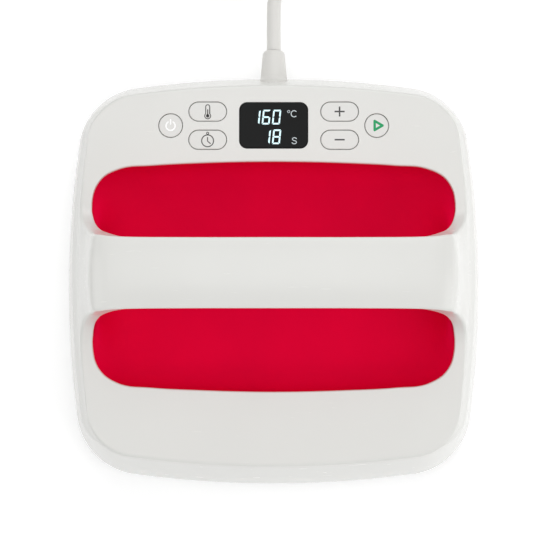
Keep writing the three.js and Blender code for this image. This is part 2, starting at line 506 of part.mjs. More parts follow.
// back wall plane at the cord's height, for the strain relief groove
const wallTilt = Math.atan((leanAt(CORD_Z + 6, Math.PI / 2) - leanAt(CORD_Z - 6, Math.PI / 2) - (shiftAt(CORD_Z + 6) - shiftAt(CORD_Z - 6))) / 12);
const wallY = wallPoint(Math.PI / 2, CORD_Z)[1];
const wallSlab = (out, inn) => box(-30, -WALL - inn, -40, 30, out, 40).rotate([wallTilt * 180 / Math.PI, 0, 0]).translate([0, wallY, CORD_Z]);
const alongY = m => m.rotate([-90, 0, 0]); // +Z axis -> +Y

// housing shell with key, window and cord openings and screw bosses
const BOSS = [[123.4, 58], [-123.4, 58], [123.4, -58], [-123.4, -58]];
{
  let s = housing().manifold();
  for (const k of KEYS) s = s.subtract(loft([keyLoop(k, 0), keyLoop(k, 0), keyLoop(k, 0.25)], [60, 63.7, 64.6]));
  const w = roundRect(WIN[2], WIN[3], WIN[4]).map(p => [p[0] + WIN[0], p[1] + WIN[1]]);
  s = s.subtract(loft([w, w], [60, 66]));
  s = s.subtract(alongY(rod(7.6, -20, 20, 18)).translate([0, wallY, CORD_Z]));
  for (const [x, y] of BOSS) s = s.add(rod(4.2, 17, 37, 10, x, y).subtract(rod(2.0, 10, 31, 8, x, y)));
  for (const x of [-77, 77]) s = s.add(rod(3, 56.0, 62.5, 12, x, 109));
  put('top_shell', s, WHITE);
}
put('bowl_liner', linerPiece(sBowl, THS), RED);
put('grip_cover', linerPiece(sGrip, THS), RED);

// base ring: outer skirt, seat for the plate, web with cross opening, cord clamp tower, board posts
{
  let s = loft([outlineLoop(4.2), outlineLoop(2.2), outlineLoop(1.2)], [7, 9, 12.7]);
  s = s.add(loft([outlineLoop(4.9), outlineLoop(4.9)], [12.5, 16.5]));
  s = s.subtract(slab(116, 116, 39.5, 5, 13.6));
  s = s.subtract(slab(100, 100, 45, 13, 18));
  for (const [x, y] of BOSS) s = s.subtract(rod(3.8, 6, 11.2, 16, x, y)).subtract(rod(2.1, 6, 18, 12, x, y));
  for (const sx of [1, -1]) for (const sy of [1, -1]) s = s.subtract(rod(2.3, 12, 18, 12, sx * 94, sy * 94));
  s = s.add(box(-17, 100.6, 15, 17, 110, 43.5));
  s = s.subtract(alongY(rod(CORD_R + 0.3, -20, 20, 20)).translate([0, 105, CORD_Z])).subtract(box(-4.8, 95, CORD_Z, 4.8, 115, 50));
  for (const x of [-12, 12]) s = s.subtract(rod(1.8, 30, 46, 12, x, 105.3));
  for (const x of [-70, 70]) s = s.add(rod(3, 15, 23.7, 12, x, -105));
  put('base_ring', s, GREY);
}
// heated plate with bosses
{
  let s = loft([roundRect(PLATE - 0.8, PLATE - 0.8, PLATE_R - 0.8, 8), roundRect(PLATE, PLATE, PLATE_R, 8), roundRect(PLATE, PLATE, PLATE_R, 8)], [0, 0.8, PLATE_T]);
  for (const sx of [1, -1]) for (const sy of [1, -1])
    s = s.add(rod(4.5, 7, 13.3, 16, sx * 94, sy * 94)).subtract(rod(2.0, 5, 14, 12, sx * 94, sy * 94));
  put('heat_plate', s, PLATEM);
}
put('plate_seal', slab(112, 112, 36, 8.3, 13.3).subtract(slab(108.4, 108.4, 32.4, 7, 15)), SILI);
put('heating_element', sweep(rounded([[-27, 70, 25], [-27, 70, 12.1], [-27, -25, 12.1], [-52, -25, 12.1], [-52, 78, 12.1], [-80, 78, 12.1],
  [-80, -80, 12.1], [80, -80, 12.1], [80, 78, 12.1], [52, 78, 12.1], [52, -25, 12.1], [27, -25, 12.1], [27, 70, 12.1], [27, 70, 25]], 9, 3), 3.5, 8), STEEL);
const cut = box(-34, 50, 10, 34, 86, 25);
put('insulation_board', slab(92, 92, 36, 15.9, 18.7).subtract(cut), MICA);
put('heat_shield', slab(97, 97, 42, 19.0, 20.0).add(slab(97, 97, 42, 15.9, 19.5).subtract(slab(96, 96, 41, 15, 20))).subtract(cut), ALU);
put('thermal_cutoff', rod(8, 8.3, 15, 20, 0, 61).add(rod(5, 14, 18, 16, 0, 61)).add(box(-10, 59.5, 16, 10, 62.5, 17)), BLACK);
put('temperature_sensor', rod(2.2, -8, 8, 12).rotate([0, 90, 0]).translate([0, 77, 10.8]), STEEL);
put('sensor_clip', box(-3.5, 71, 8.3, 3.5, 83, 14.2).subtract(box(-5, 74, 7, 5, 80, 13.4)).subtract(box(-5, 70, 9.2, 5, 73, 15)).subtract(box(-5, 81, 9.2, 5, 84, 15)), ALU);
for (let i = 0; i < 4; i++) {
  const sx = i % 2 ? -1 : 1, sy = i < 2 ? 1 : -1;
  put(`plate_screw_${i + 1}`, rod(3.6, 16.8, 19.2, 16).add(rod(1.7, 6, 17, 12)).subtract(box(-4, -0.5, 18.3, 4, 0.5, 20)).translate([sx * 94, sy * 94, 0]), STEEL);
}
BOSS.forEach(([x, y], i) => put(`housing_screw_${i + 1}`, rod(3.3, 8.4, 10.9, 16).add(rod(1.5, 10, 30, 12)).subtract(box(-2.4, -0.45, 8, 2.4, 0.45, 9.3)).subtract(box(-0.45, -2.4, 8, 0.45, 2.4, 9.3)).translate([x, y, 0]), STEEL));

// mains electronics under the front deck
put('power_board', box(-76, -110, 24, 76, -80, 25.6), PCB);
const Zb = 25.9;
put('relay', box(-66, -104, Zb, -46, -89, Zb + 15.5), BLACK);
put('film_capacitor', box(-40, -103, Zb, -22, -94, Zb + 13), YELLOW);
put('transformer', box(-14, -105, Zb, 10, -85, Zb + 17).add(box(-9, -108, Zb + 3, 5, -82, Zb + 14)), YELLOW);
put('triac_heatsink', box(18, -104, Zb, 42, -90, Zb + 20).subtract(box(20, -106, Zb + 3, 24.5, -88, Zb + 25)).subtract(box(26.5, -106, Zb + 3, 33, -88, Zb + 25)).subtract(box(35, -106, Zb + 3, 40, -88, Zb + 25)), ALU);
put('fuse', rod(2.6, -10, 10, 14).rotate([0, 90, 0]).translate([58, -96, Zb + 3.2]), GLASS);
put('terminal_block', box(-48, 101.5, 16.8, -24, 110.5, 28).subtract(box(-46, 100, 20, -38, 104, 25)).subtract(box(-34, 100, 20, -26, 104, 25)), BLACK);

// control electronics under the back deck
put('control_board', box(-80, 77.5, 54.1, 80, 112.5, 55.7), PCB);
put('lcd_module', box(-23.5, 78.6, 56.0, 23.5, 109.8, 59.3), GLASS);
{
  const a = roundRect(WIN[2] - 0.35, WIN[3] - 0.35, WIN[4] - 0.35).map(p => [p[0] + WIN[0], p[1] + WIN[1]]);
  const f = roundRect(WIN[2] + 1.8, WIN[3] + 1.8, WIN[4] + 1).map(p => [p[0] + WIN[0], p[1] + WIN[1]]);
  put('display_window', loft([a, a], [60.5, 63.9]).add(loft([f, f], [59.7, 61.2])), GLASS);
}
put('buzzer', rod(6, 46.5, 53.8, 20, 52, 95), BLACK);
for (const k of KEYS) {
  put(`switch_${k[0]}`, box(k[1] - 3, k[2] - 3, 56.0, k[1] + 3, k[2] + 3, 59.3).subtract(rod(1.9, 56.7, 61, 12, k[1], k[2])), BLACK);
  const cap = loft([keyLoop(k, -0.42), keyLoop(k, -0.42), keyLoop(k, -0.8)], [60.5, 63.6, 64.0]);
  const flange = loft([keyLoop(k, 0.8), keyLoop(k, 0.8)], [60.3, 61.2]);
  put(`key_${k[0]}`, cap.add(flange).add(rod(1.5, 57.6, 61, 12, k[1], k[2])), KEYM);
}

// cord entry: strain relief, clamp, inner lead
{
  const Y0 = 112.6, Y1 = 147.0; // inner and outer ends
  const prof = [[0, Y0], [9.8, Y0], [9.8, 127], [9.2, 127.3], [8.5, 128.8], [7.2, 144.2], [6.6, 146.2], [5.6, Y1], [0, Y1]];
  let s = alongY(lathe(prof.map(([r, h]) => [r, h]), 18)).translate([0, 0, CORD_Z]);
  const groove = wallSlab(0.6, 0.6).subtract(alongY(rod(7.1, -30, 30, 18)).translate([0, wallY, CORD_Z]));
  s = s.subtract(groove);
  s = s.subtract(alongY(rod(CORD_R + 0.3, 100, 121, 16)).translate([0, 0, CORD_Z]));
  put('strain_relief', s, CORDM);
}
put('inner_lead', sweep(rounded([[0, 119.5, CORD_Z], [0, 92, CORD_Z]], 1), CORD_R, 12), CORDM);
put('cord_clamp', box(-16.5, 101, 45.1, 16.5, 109.6, 47.6).subtract(rod(1.9, 44, 50, 12, -12, 105.3)).subtract(rod(1.9, 44, 50, 12, 12, 105.3)), STEEL);
for (const [i, x] of [[1, -12], [2, 12]])
  put(`clamp_screw_${i}`, rod(2.9, 47.9, 49.8, 14).add(rod(1.5, 32, 48, 12)).translate([x, 105.3, 0]), STEEL);
put('lead_live', sweep(rounded([[-42, 103.2, 22.5], [-42, 94, 22.5], [-42, 94, 30], [-27, 84, 30], [-27, 70, 30], [-27, 70, 25.3]], 2.5, 3), 1.3, 8), WIRE);
put('lead_neutral', sweep(rounded([[-30, 103.2, 22.5], [-30, 97, 22.5], [-14, 92, 27], [27, 86, 29], [27, 70, 30], [27, 70, 25.3]], 2.5, 3), 1.3, 8), WIRE);

// mains cord: straight out of the back wall, down to the floor, into the coil
const COIL = [-20, 263], COIL_R0 = 60, COIL_PITCH = 9.4, COIL_Z = [6.4, 15.7];
const cordPath = [];
for (let i = 0; i <= 2; i++) cordPath.push([0, 147.3 + 12.5 * i, CORD_Z]);
{
  const p0 = [0, 172.3, CORD_Z], p3 = [COIL[0] + COIL_R0, COIL[1], COIL_Z[0]];
  const p1 = V.add(p0, [0, 46, 0]), p2 = V.add(p3, [0, -46, 0]);
  for (let i = 1; i <= 10; i++) {
    const t = i / 10, m = 1 - t;
    cordPath.push([0, 1, 2].map(k => m ** 3 * p0[k] + 3 * m * m * t * p1[k] + 3 * m * t * t * p2[k] + t ** 3 * p3[k]));
  }
}
const ringIn = 31.5, ringOut = 67.5, ringZ0 = 1.8, ringZ1 = 20.4;
const clear = cordPath.filter(p => {
  const d = Math.hypot(p[0] - COIL[0], p[1] - COIL[1]) - ringOut, h = p[2] - ringZ1;
  return Math.hypot(Math.max(d, 0), Math.max(h, 0)) > CORD_R + 0.35;
});
put('power_cord', sweep(clear, CORD_R, 10), CORDM);
{
  const ring = rod(ringOut, ringZ0, ringZ1, 40).subtract(rod(ringIn, 0, 30, 40)).translate([COIL[0], COIL[1], 0]);
  put('cord_coil', ring, CORDM);
}
// tie round the bundle on the side away from the press's middle
const TIE = 200 * Math.PI / 180;
put('coil_tie', box(ringIn - 2.4, -5, 0.2, ringOut + 1.6, 5, 22).subtract(box(ringIn - 1.2, -6, ringZ0 - 0.4, ringOut + 0.4, 6, ringZ1 + 0.4))
  .rotate([0, 0, TIE * 180 / Math.PI]).translate([COIL[0], COIL[1], 0]), SILI);
// plug: lies behind the coil on its rim, axis along -X
const endR = 62.3, plugY = COIL[1] + endR, plugZ = 18.9, tailX = COIL[0] - 37.5, plugX = tailX - 14;
put('cord_tail', sweep([[tailX, plugY, 16.4], [tailX - 5, plugY, 17.6], [tailX - 9.5, plugY, 18.7], [tailX - 13.6, plugY, plugZ]], CORD_R, 10), CORDM);
{
  const toMinusX = m => m.rotate([0, -90, 0]); // +Z axis -> -X
  const prof = [[0, 0], [6.2, 0], [7.6, 12], [9.5, 19], [14.5, 26], [18.5, 32], [18.5, 46.2], [17.8, 47], [0, 47]];
  let s = lathe(prof, 20);
  for (const a of [-9.5, 9.5]) s = s.subtract(rod(2.75, 38, 50, 12, 0, a));
  for (const a of [1, -1]) s = s.subtract(box(a > 0 ? 15.7 : -20, -3.3, 34, a > 0 ? 20 : -15.7, 3.3, 50));
  const dy = 0;
  put('plug_body', toMinusX(s).translate([plugX, plugY + dy, plugZ]), CORDM);
  for (const [i, a] of [[1, -9.5], [2, 9.5]])
    put(`plug_pin_${i}`, toMinusX(rod(2.4, 38.4, 64.5, 16, 0, a).add(rod(2.4, 64.4, 66, 16, 0, a, 1.6))).translate([plugX, plugY + dy, plugZ]), NICKEL);
}
export default group;
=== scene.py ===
"""Hand heat press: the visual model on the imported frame. Metres, +Z up, the plate's working face is z = 0.
Shapes are worked out in millimetres with the same outline and edge curves as the CAD, sampled more finely."""
import bpy
import json
import math
from math import sin, cos, atan2, asin, acos, hypot, sqrt, pi, radians
from mathutils import Vector, Matrix
from mathutils.geometry import delaunay_2d_cdt


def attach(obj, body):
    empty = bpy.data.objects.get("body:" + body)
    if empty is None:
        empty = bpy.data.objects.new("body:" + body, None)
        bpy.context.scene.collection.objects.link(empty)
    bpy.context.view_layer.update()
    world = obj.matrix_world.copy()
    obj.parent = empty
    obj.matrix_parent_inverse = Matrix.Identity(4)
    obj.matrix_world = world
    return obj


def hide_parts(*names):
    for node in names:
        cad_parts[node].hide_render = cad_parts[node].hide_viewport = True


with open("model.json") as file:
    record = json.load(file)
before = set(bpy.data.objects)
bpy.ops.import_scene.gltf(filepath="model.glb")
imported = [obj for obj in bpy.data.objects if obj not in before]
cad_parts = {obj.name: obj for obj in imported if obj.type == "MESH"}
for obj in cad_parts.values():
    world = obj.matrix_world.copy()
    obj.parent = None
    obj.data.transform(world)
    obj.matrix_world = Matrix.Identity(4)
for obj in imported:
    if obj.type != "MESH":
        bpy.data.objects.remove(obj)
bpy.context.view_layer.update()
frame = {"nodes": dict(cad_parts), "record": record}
MM = 0.001

# ------------------------------------------------------------------ camera
scene = bpy.context.scene
scene.view_settings.view_transform = "Standard"
cam_data = bpy.data.cameras.new("camera")
cam_data.sensor_width = 36.0
cam_data.lens = 69.04
cam_data.clip_start, cam_data.clip_end = 0.01, 20.0
camera = bpy.data.objects.new("camera", cam_data)
scene.collection.objects.link(camera)
EYE, AIM = Vector((0.00178, -0.032145, 0.719164)), Vector((0.00178, 0.00205, 0.020))
camera.location = EYE
fwd = (AIM - EYE).normalized()
right = fwd.cross(Vector((0, 1, 0))).normalized()
up = right.cross(fwd)
camera.rotation_euler = Matrix((right, up, -fwd)).transposed().to_euler()
scene.camera = camera

# ------------------------------------------------------------------ driving dimensions (mm)
A, B = 135.0, 133.4
RA, RB, RC = 643.0, 680.0, 43.8
Z_SKIRT, Z_GIRTH, Z_DECK = 13.0, 20.0, 64.0
FLARE, SIDE_SKEW, SHIFT, WALL = 15.4, 0.45, 1.5, 2.5
SIDE_BASE, FACET, FACET_H = 11.7, 2.2, 11.0   # sides: plain lean, then the flared facet under the deck edge
SIDE_LEAN = SIDE_BASE + FACET
R_EDGE, R_LIP = 2.0, 1.2
Z_RIM = Z_DECK - 0.92 * R_EDGE
HANDLE_TOP, HANDLE_CROWN, HANDLE_DOME = 110.2, 1.6, 2.4
LEG_BASE, LINER = 46.0, 2.0
PLATE, PLATE_R, PLATE_T = 114.5, 38.0, 8.0
CORD_R, CORD_Z = 4.5, 40.0


def vadd(a, b): return [x + y for x, y in zip(a, b)]
def vsub(a, b): return [x - y for x, y in zip(a, b)]
def vmul(a, k): return [x * k for x in a]
def vmix(a, b, t): return [x + (y - x) * t for x, y in zip(a, b)]
def vcross(a, b): return [a[1] * b[2] - a[2] * b[1], a[2] * b[0] - a[0] * b[2], a[0] * b[1] - a[1] * b[0]]
def vdot(a, b): return sum(x * y for x, y in zip(a, b))


def vunit(a):
    l = sqrt(sum(x * x for x in a)) or 1.0
    return [x / l for x in a]


def smooth(x, a, b):
    t = min(1.0, max(0.0, (x - a) / (b - a)))
    return t * t * (3 - 2 * t)


# ------------------------------------------------------------------ housing outline
def _corner():
    x, y = 85.0, 84.0
    for _ in range(40):
        f1 = (x - (A - RA)) ** 2 + y * y - (RA - RC) ** 2
        f2 = x * x + (y - (B - RB)) ** 2 - (RB - RC) ** 2
        a, b, c, e = 2 * (x - (A - RA)), 2 * y, 2 * x, 2 * (y - (B - RB))
        det = a * e - b * c
        x -= (f1 * e - b * f2) / det
        y -= (a * f2 - c * f1) / det
    return x, y


CX, CY = _corner()
PHI1 = atan2(CY, CX - (A - RA))
PHI2 = pi / 2 - atan2(CX, CY - (B - RB))


def outline(phi, d, sh=0.0):
    cs, sn = cos(phi), sin(phi)
    c, s = abs(cs), abs(sn)
    f = atan2(s, c)
    if f < PHI1:
        x, y = A - RA + (RA - d) * c, (RA - d) * s
    elif f > PHI2:
        x, y = (RB - d) * c, B - RB + (RB - d) * s
    else:
        x, y = CX + (RC - d) * c, CY + (RC - d) * s
    return [-x if cs < 0 else x, (-y if sn < 0 else y) + sh]


def skew(v):  # the sides lean a little less at the back than at the front; v runs -1..1 across a handle foot
    v = min(1.0, max(-1.0, v))
    return SIDE_SKEW * (1.5 * v - 0.5 * v ** 3)


def off_axis(phi):
    return atan2(abs(sin(phi)), abs(cos(phi)))


def facet_part(phi):  # 1 along the sides, running out to nothing in the corners
    return 1 - smooth(off_axis(phi), 0.14, 1.05)


def lean_at(z, phi):
    if z < Z_GIRTH:
        return 0.9 * ((Z_GIRTH - z) / (Z_GIRTH - Z_SKIRT)) ** 2
    k = facet_part(phi)
    side = SIDE_LEAN - skew(sin(phi) * (RA - SIDE_LEAN) / LEG_BASE)
    edge = side + (FLARE - side) * smooth(off_axis(phi), PHI1, 0.9)
    lean = (edge - FACET * k) * ((z - Z_GIRTH) / (Z_DECK - Z_GIRTH)) ** 1.2
    if k > 1e-6 and z > Z_DECK - FACET_H * k:
        lean += FACET * k * (1 - ((Z_DECK - z) / (FACET_H * k)) ** 1.6)
    return lean


def row_height(z, phi):  # levels the wall rows with the lower edge of the facet
    zk, z1 = min(Z_DECK - FACET_H * facet_part(phi), 61.4), Z_DECK - FACET_H
    if z <= Z_GIRTH:
        return z
    if z <= z1:
        return Z_GIRTH + (z - Z_GIRTH) * (zk - Z_GIRTH) / (z1 - Z_GIRTH)
    return zk + (z - z1) * (Z_RIM - zk) / (Z_RIM - z1)


def shift_at(z):
    return SHIFT * (z - Z_GIRTH) / (Z_DECK - Z_GIRTH) if z > Z_GIRTH else 0.0


def wall_point(phi, z):
    x, y = outline(phi, lean_at(z, phi), shift_at(z))
    return [x, y, z]


def spline(P, start=None, end=None):
    n, L = len(P), [0.0]
    for i in range(1, n):
        L.append(L[-1] + sqrt(sum((a - b) ** 2 for a, b in zip(P[i], P[i - 1]))))
    T = []
    for i in range(n):
        if i == 0:
            T.append(start or vmul(vsub(P[1], P[0]), 1 / (L[1] - L[0])))
        elif i == n - 1:
            T.append(end or vmul(vsub(P[-1], P[-2]), 1 / (L[-1] - L[-2])))
        else:
            h0, h1 = L[i] - L[i - 1], L[i + 1] - L[i]
            d0, d1 = vmul(vsub(P[i], P[i - 1]), 1 / h0), vmul(vsub(P[i + 1], P[i]), 1 / h1)
            T.append(vadd(vmul(d0, h1 / (h0 + h1)), vmul(d1, h0 / (h0 + h1))))

    def at(s):
        i = min(n - 2, max(0, int(math.floor(s))))
        t, h = s - i, L[i + 1] - L[i]
        t2, t3 = t * t, t * t * t
        a, b, c, e = 2 * t3 - 3 * t2 + 1, t3 - 2 * t2 + t, -2 * t3 + 3 * t2, t3 - t2
        return [a * P[i][k] + b * h * T[i][k] + c * P[i + 1][k] + e * h * T[i + 1][k] for k in range(len(P[i]))]
    return at


# ------------------------------------------------------------------ handle strap
leg_curve = spline([[A - SIDE_LEAN, Z_DECK], [113.5, 85.0], [108.7, 100.0], [107.45, 104.0], [105.5, 106.9], [101.5, 108.75],
                    [92.0, 109.72], [80.0, HANDLE_TOP]], [-0.34, 0.94], [-1.0, 0.04])


def leg_point(t):
    p, a, b = leg_curve(7 * t), leg_curve(max(0.0, 7 * t - 0.002)), leg_curve(min(7.0, 7 * t + 0.002))
    return p, vsub(b, a)


def bisect(fn, target, lo, hi, rising=True):
    for _ in range(44):
        m = (lo + hi) / 2
        if (fn(m) < target) == rising:
            lo = m
        else:
            hi = m
    return (lo + hi) / 2


def leg_at(z):
    return bisect(lambda t: leg_point(t)[0][1], z, 0.0, 1.0)


leg_edge = spline([[Z_DECK, LEG_BASE], [69.5, 33.0], [81, 26.2], [98, 23.7], [108.4, 22.4]], [0, -1])
T_TOP = leg_at(108.4)
X_TOP = leg_point(T_TOP)[0][0]


def leg_row(z, w=None):
    p, d = leg_point(leg_at(z) if z > Z_DECK else 0.0)
    l = hypot(*d)
    if w is None:
        w = leg_edge(bisect(lambda s: leg_edge(s)[0], z, 0.0, 4.0))[1]
    return dict(x=p[0], z=max(z, Z_DECK), w=w, n=[d[1] / l, -d[0] / l])


def top_half(x):
    t = max(0.0, x - 40) / (X_TOP - 40)
    return 20.8 + 0.2 * t + 1.4 * t ** 8


def strap_row(s):
    if s <= 11:
        z, w = leg_edge(s - 7)
        return leg_row(z, w)
    xs = X_TOP + (45 - X_TOP) * (s - 11) if s <= 12 else 45 * (13 - s)
    if xs > 80:
        t = bisect(lambda q: leg_point(q)[0][0], xs, T_TOP, 1.0, rising=False)
        p, d = leg_point(t)
        l = hypot(*d)
        return dict(x=p[0], z=p[1], w=top_half(xs), n=[d[1] / l, -d[0] / l])
    z, sl = HANDLE_TOP + HANDLE_CROWN * (1 - (xs / 80) ** 2), 2 * HANDLE_CROWN * xs / 6400
    l = hypot(sl, 1)
    return dict(x=xs, z=z, w=top_half(xs), n=[sl / l, 1 / l])


FOOT = -LEG_BASE * LEG_BASE / (2 * (RA - SIDE_LEAN))


def on_row(r, y):
    b = smooth(r["z"], Z_DECK, 86)
    q, u = (y / LEG_BASE) ** 2, (y / r["w"]) ** 2
    sh = SHIFT * (1 - smooth(r["z"], Z_DECK, 104))
    return [r["x"] + (FOOT * q + skew(y / LEG_BASE)) * (1 - b) - r["n"][0] * HANDLE_DOME * b * u, y + sh, r["z"] - r["n"][1] * HANDLE_DOME * b * u]


def leg_surface(z, y, row=None):
    if z <= Z_DECK:
        R = RA - lean_at(z, asin(y / (RA - SIDE_LEAN)))
        return [A - RA + sqrt(R * R - y * y), y + shift_at(z), z]
    return on_row(row or leg_row(z), y)


# ------------------------------------------------------------------ deck edge C, mouth edge M, tunnel middle
PHI_K = [pi / 2, acos(45 / (RB - FLARE)), acos(78 / (RB - FLARE)), PHI2 - 0.22 * (PHI2 - PHI1), PHI2 - 0.56 * (PHI2 - PHI1),
         PHI1 + 0.12 * (PHI2 - PHI1), asin(62 / (RA - SIDE_LEAN)), asin(LEG_BASE / (RA - SIDE_LEAN))]


def phi_of(s):
    i = min(6, int(math.floor(s)))
    return PHI_K[i] + (PHI_K[i + 1] - PHI_K[i]) * (s - i)


def edge_c(s, side):
    if s <= 7:
        return wall_point(side * phi_of(s), Z_DECK)
    r = strap_row(s)
    return on_row(r, side * r["w"])


def mouth_curve(k):
    return spline([k[0] + [64, 0], k[1] + [64, 0], k[2] + [64, 0], k[3] + [64, 0], k[4] + [64, 0], k[5] + [64, 0], k[6] + [64, 0.3],
                   k[7] + [64.4, 0.8], k[8] + [67.2, 1.6], k[9] + [75, 1.5], k[10] + [85.5, 0.8], k[11] + [94, 0.3],
                   k[12] + [96.9, 0], k[13] + [97.3, 0]], [1, 0, 0, 0], [-1, 0, 0, 0])


mouth_s = {
    1: mouth_curve([[0, 71.6], [45, 70.7], [76, 69.1], [94.8, 67.3], [106.5, 61.4], [111.3, 54.0], [112.8, 46.4], [112.5, 39.7],
                    [110.4, 32.7], [106.0, 27.5], [98.1, 24.1], [86, 21.1], [45, 19.2], [0, 19.2]]),
    -1: mouth_curve([[0, 71.2], [45, 70.2], [76, 68.6], [94.6, 66.4], [105.2, 60.2], [109.8, 53.3], [111.5, 46.1], [111.6, 39.7],
                     [110.0, 32.8], [105.9, 27.6], [98.3, 23.5], [86, 20.8], [45, 19.2], [0, 19.2]])}
mid_s = spline([[0, 34], [43, 34], [71, 34.2], [85.5, 35.4], [93, 38.6], [98.6, 43.6], [102.4, 50.4], [104.4, 58],
                [104.6, 66.5], [102.4, 76.5], [95.8, 86.8], [84, 92.8], [45, 95.2], [0, 95.5]], [1, 0], [-1, 0])


def edge_m(s, side):
    m = mouth_s[side](s)
    return [m[0], side * m[1] + m[3], Z_DECK if s <= 6 else m[2]]


def mirrored(fn, s, *rest):
    s %= 26
    if s <= 13:
        return fn(s, *rest)
    p = fn(26 - s, *rest)
    return [-p[0], p[1], p[2]]


def C(s, side): return mirrored(edge_c, s, side)
def M(s, side): return mirrored(edge_m, s, side)
def MID(s): return mirrored(lambda q: [mid_s(q)[0], 0.0, mid_s(q)[1]], s)


def rim_normal(s, side):
    e, f = 0.02, s % 26
    if f <= 6 or f >= 20:
        return [0.0, 0.0, 1.0]
    n = vunit(vcross(vsub(C(s, side), M(s, side)), vsub(M(s + e, side), M(s - e, side))))
    if n[2] * 0.5 + n[1] * side < 0:
        n = vmul(n, -1)
    return n


# ------------------------------------------------------------------ mesh kit
class Kit:
    def __init__(self):
        self.v, self.f, self.m, self.mat = [], [], [], 0

    def add(self, p):
        self.v.append(tuple(p))
        return len(self.v) - 1

    def face(self, *ids):
        ids = [i for k, i in enumerate(ids) if i != ids[k - 1]]
        if len(set(ids)) >= 3:
            self.f.append(ids)
            self.m.append(self.mat)

    def grid(self, rows, closed=False, flip=False):
        for a, b in zip(rows, rows[1:]):
            n = len(a)
            for j in range(n if closed else n - 1):
                k = (j + 1) % n
                q = (a[j], a[k], b[k], b[j])
                self.face(*(q[::-1] if flip else q))

    def rows(self, pts):
        return [[self.add(p) for p in r] for r in pts]

    def fan(self, row, centre, flip=False):
        c = self.add(centre)
        n = len(row)
        for j in range(n):
            k = (j + 1) % n
            self.face(*((c, row[k], row[j]) if flip else (c, row[j], row[k])))


def make(name, kit, mats, sharp=38.0, weighted=True, move=None):
    me = bpy.data.meshes.new(name)
    pts = kit.v if move is None else [move(p) for p in kit.v]
    me.from_pydata([(x * MM, y * MM, z * MM) for x, y, z in pts], [], kit.f)
    for mm in (mats if isinstance(mats, (list, tuple)) else [mats]):
        me.materials.append(mm)
    me.polygons.foreach_set("material_index", kit.m)
    me.polygons.foreach_set("use_smooth", [True] * len(me.polygons))
    me.update()
    me.set_sharp_from_angle(angle=radians(sharp))
    ob = bpy.data.objects.new(name, me)
    scene.collection.objects.link(ob)
    if weighted:
        w = ob.modifiers.new("even_normals", "WEIGHTED_NORMAL")
        w.keep_sharp, w.weight = True, 60
    return ob


def inside(p, loop):
    x, y, c = p[0], p[1], False
    j = len(loop) - 1
    for i in range(len(loop)):
        xi, yi, xj, yj = loop[i][0], loop[i][1], loop[j][0], loop[j][1]
        if (yi > y) != (yj > y) and x < (xj - xi) * (y - yi) / (yj - yi) + xi:
            c = not c
        j = i
    return c


def flat_fill(kit, outer, holes, up=True):
    """outer and holes are loops of vertex ids that lie in one level plane"""
    ids, edges = [], []
    for L in [outer] + holes:
        n0 = len(ids)
        ids += L
        edges += [(n0 + i, n0 + (i + 1) % len(L)) for i in range(len(L))]
    vs, _, fs, ov, _, _ = delaunay_2d_cdt([Vector(kit.v[i][:2]) for i in ids], edges, [], 0, 1e-7)
    O, H = [kit.v[i] for i in outer], [[kit.v[i] for i in h] for h in holes]
    for f in fs:
        c = [sum(vs[i][k] for i in f) / len(f) for k in (0, 1)]
        if not inside(c, O) or any(inside(c, h) for h in H):
            continue
        q = [ids[ov[i][0]] if ov[i] else kit.add([vs[i][0], vs[i][1], kit.v[outer[0]][2]]) for i in f]
        a, b, d = [kit.v[i] for i in q[:3]]
        ccw = (b[0] - a[0]) * (d[1] - a[1]) - (b[1] - a[1]) * (d[0] - a[0]) > 0
        kit.face(*(q if ccw == up else q[::-1]))


def round_rect(hx, hy, r, n=8, x=0.0, y=0.0):
    p = []
    r = min(r, hx - 1e-3, hy - 1e-3)
    for sx, sy, a0 in ((1, 1, 0), (-1, 1, 90), (-1, -1, 180), (1, -1, 270)):
        for i in range(n + 1):
            a = radians(a0 + 90 * i / n)
            p.append([x + sx * (hx - r) + r * cos(a), y + sy * (hy - r) + r * sin(a)])
    return p


def bezier(p, q, r, t):
    return vadd(vadd(vmul(p, (1 - t) ** 2), vmul(q, 2 * t * (1 - t))), vmul(r, t * t))


def loft(kit, loops, zs, cap0=True, cap1=True):
    rows = [[kit.add([p[0], p[1], z]) for p in L] for L, z in zip(loops, zs)]
    kit.grid(rows, closed=True)
    mean = lambda L: [sum(p[0] for p in L) / len(L), sum(p[1] for p in L) / len(L)]
    if cap0:
        kit.fan(rows[0], mean(loops[0]) + [zs[0]], flip=True)
    if cap1:
        kit.fan(rows[-1], mean(loops[-1]) + [zs[-1]])
    return rows


def tube(kit, P, r, n=12, closed_ends=True, radii=None):
    t0 = vunit(vsub(P[1], P[0]))
    u = vunit(vcross(t0, [0, 0, 1] if abs(t0[2]) < 0.9 else [1, 0, 0]))
    rows = []
    for i, p in enumerate(P):
        t = vunit(vsub(P[min(len(P) - 1, i + 1)], P[max(0, i - 1)]))
        u = vunit(vsub(u, vmul(t, vdot(u, t))))
        w = vcross(t, u)
        rr = radii[i] if radii else r
        rows.append([kit.add(vadd(p, vadd(vmul(u, rr * cos(2 * pi * k / n)), vmul(w, rr * sin(2 * pi * k / n))))) for k in range(n)])
    kit.grid(rows, closed=True)
    if closed_ends:
        kit.fan(rows[0], P[0], flip=True)
        kit.fan(rows[-1], P[-1])
    return rows


# ------------------------------------------------------------------ materials
def principled(name):
    m = bpy.data.materials.new(name)
    m.use_nodes = True
    nt = m.node_tree
    bs = nt.nodes["Principled BSDF"]
    co = nt.nodes.new("ShaderNodeTexCoord")
    return m, nt, bs, co.outputs["Object"]


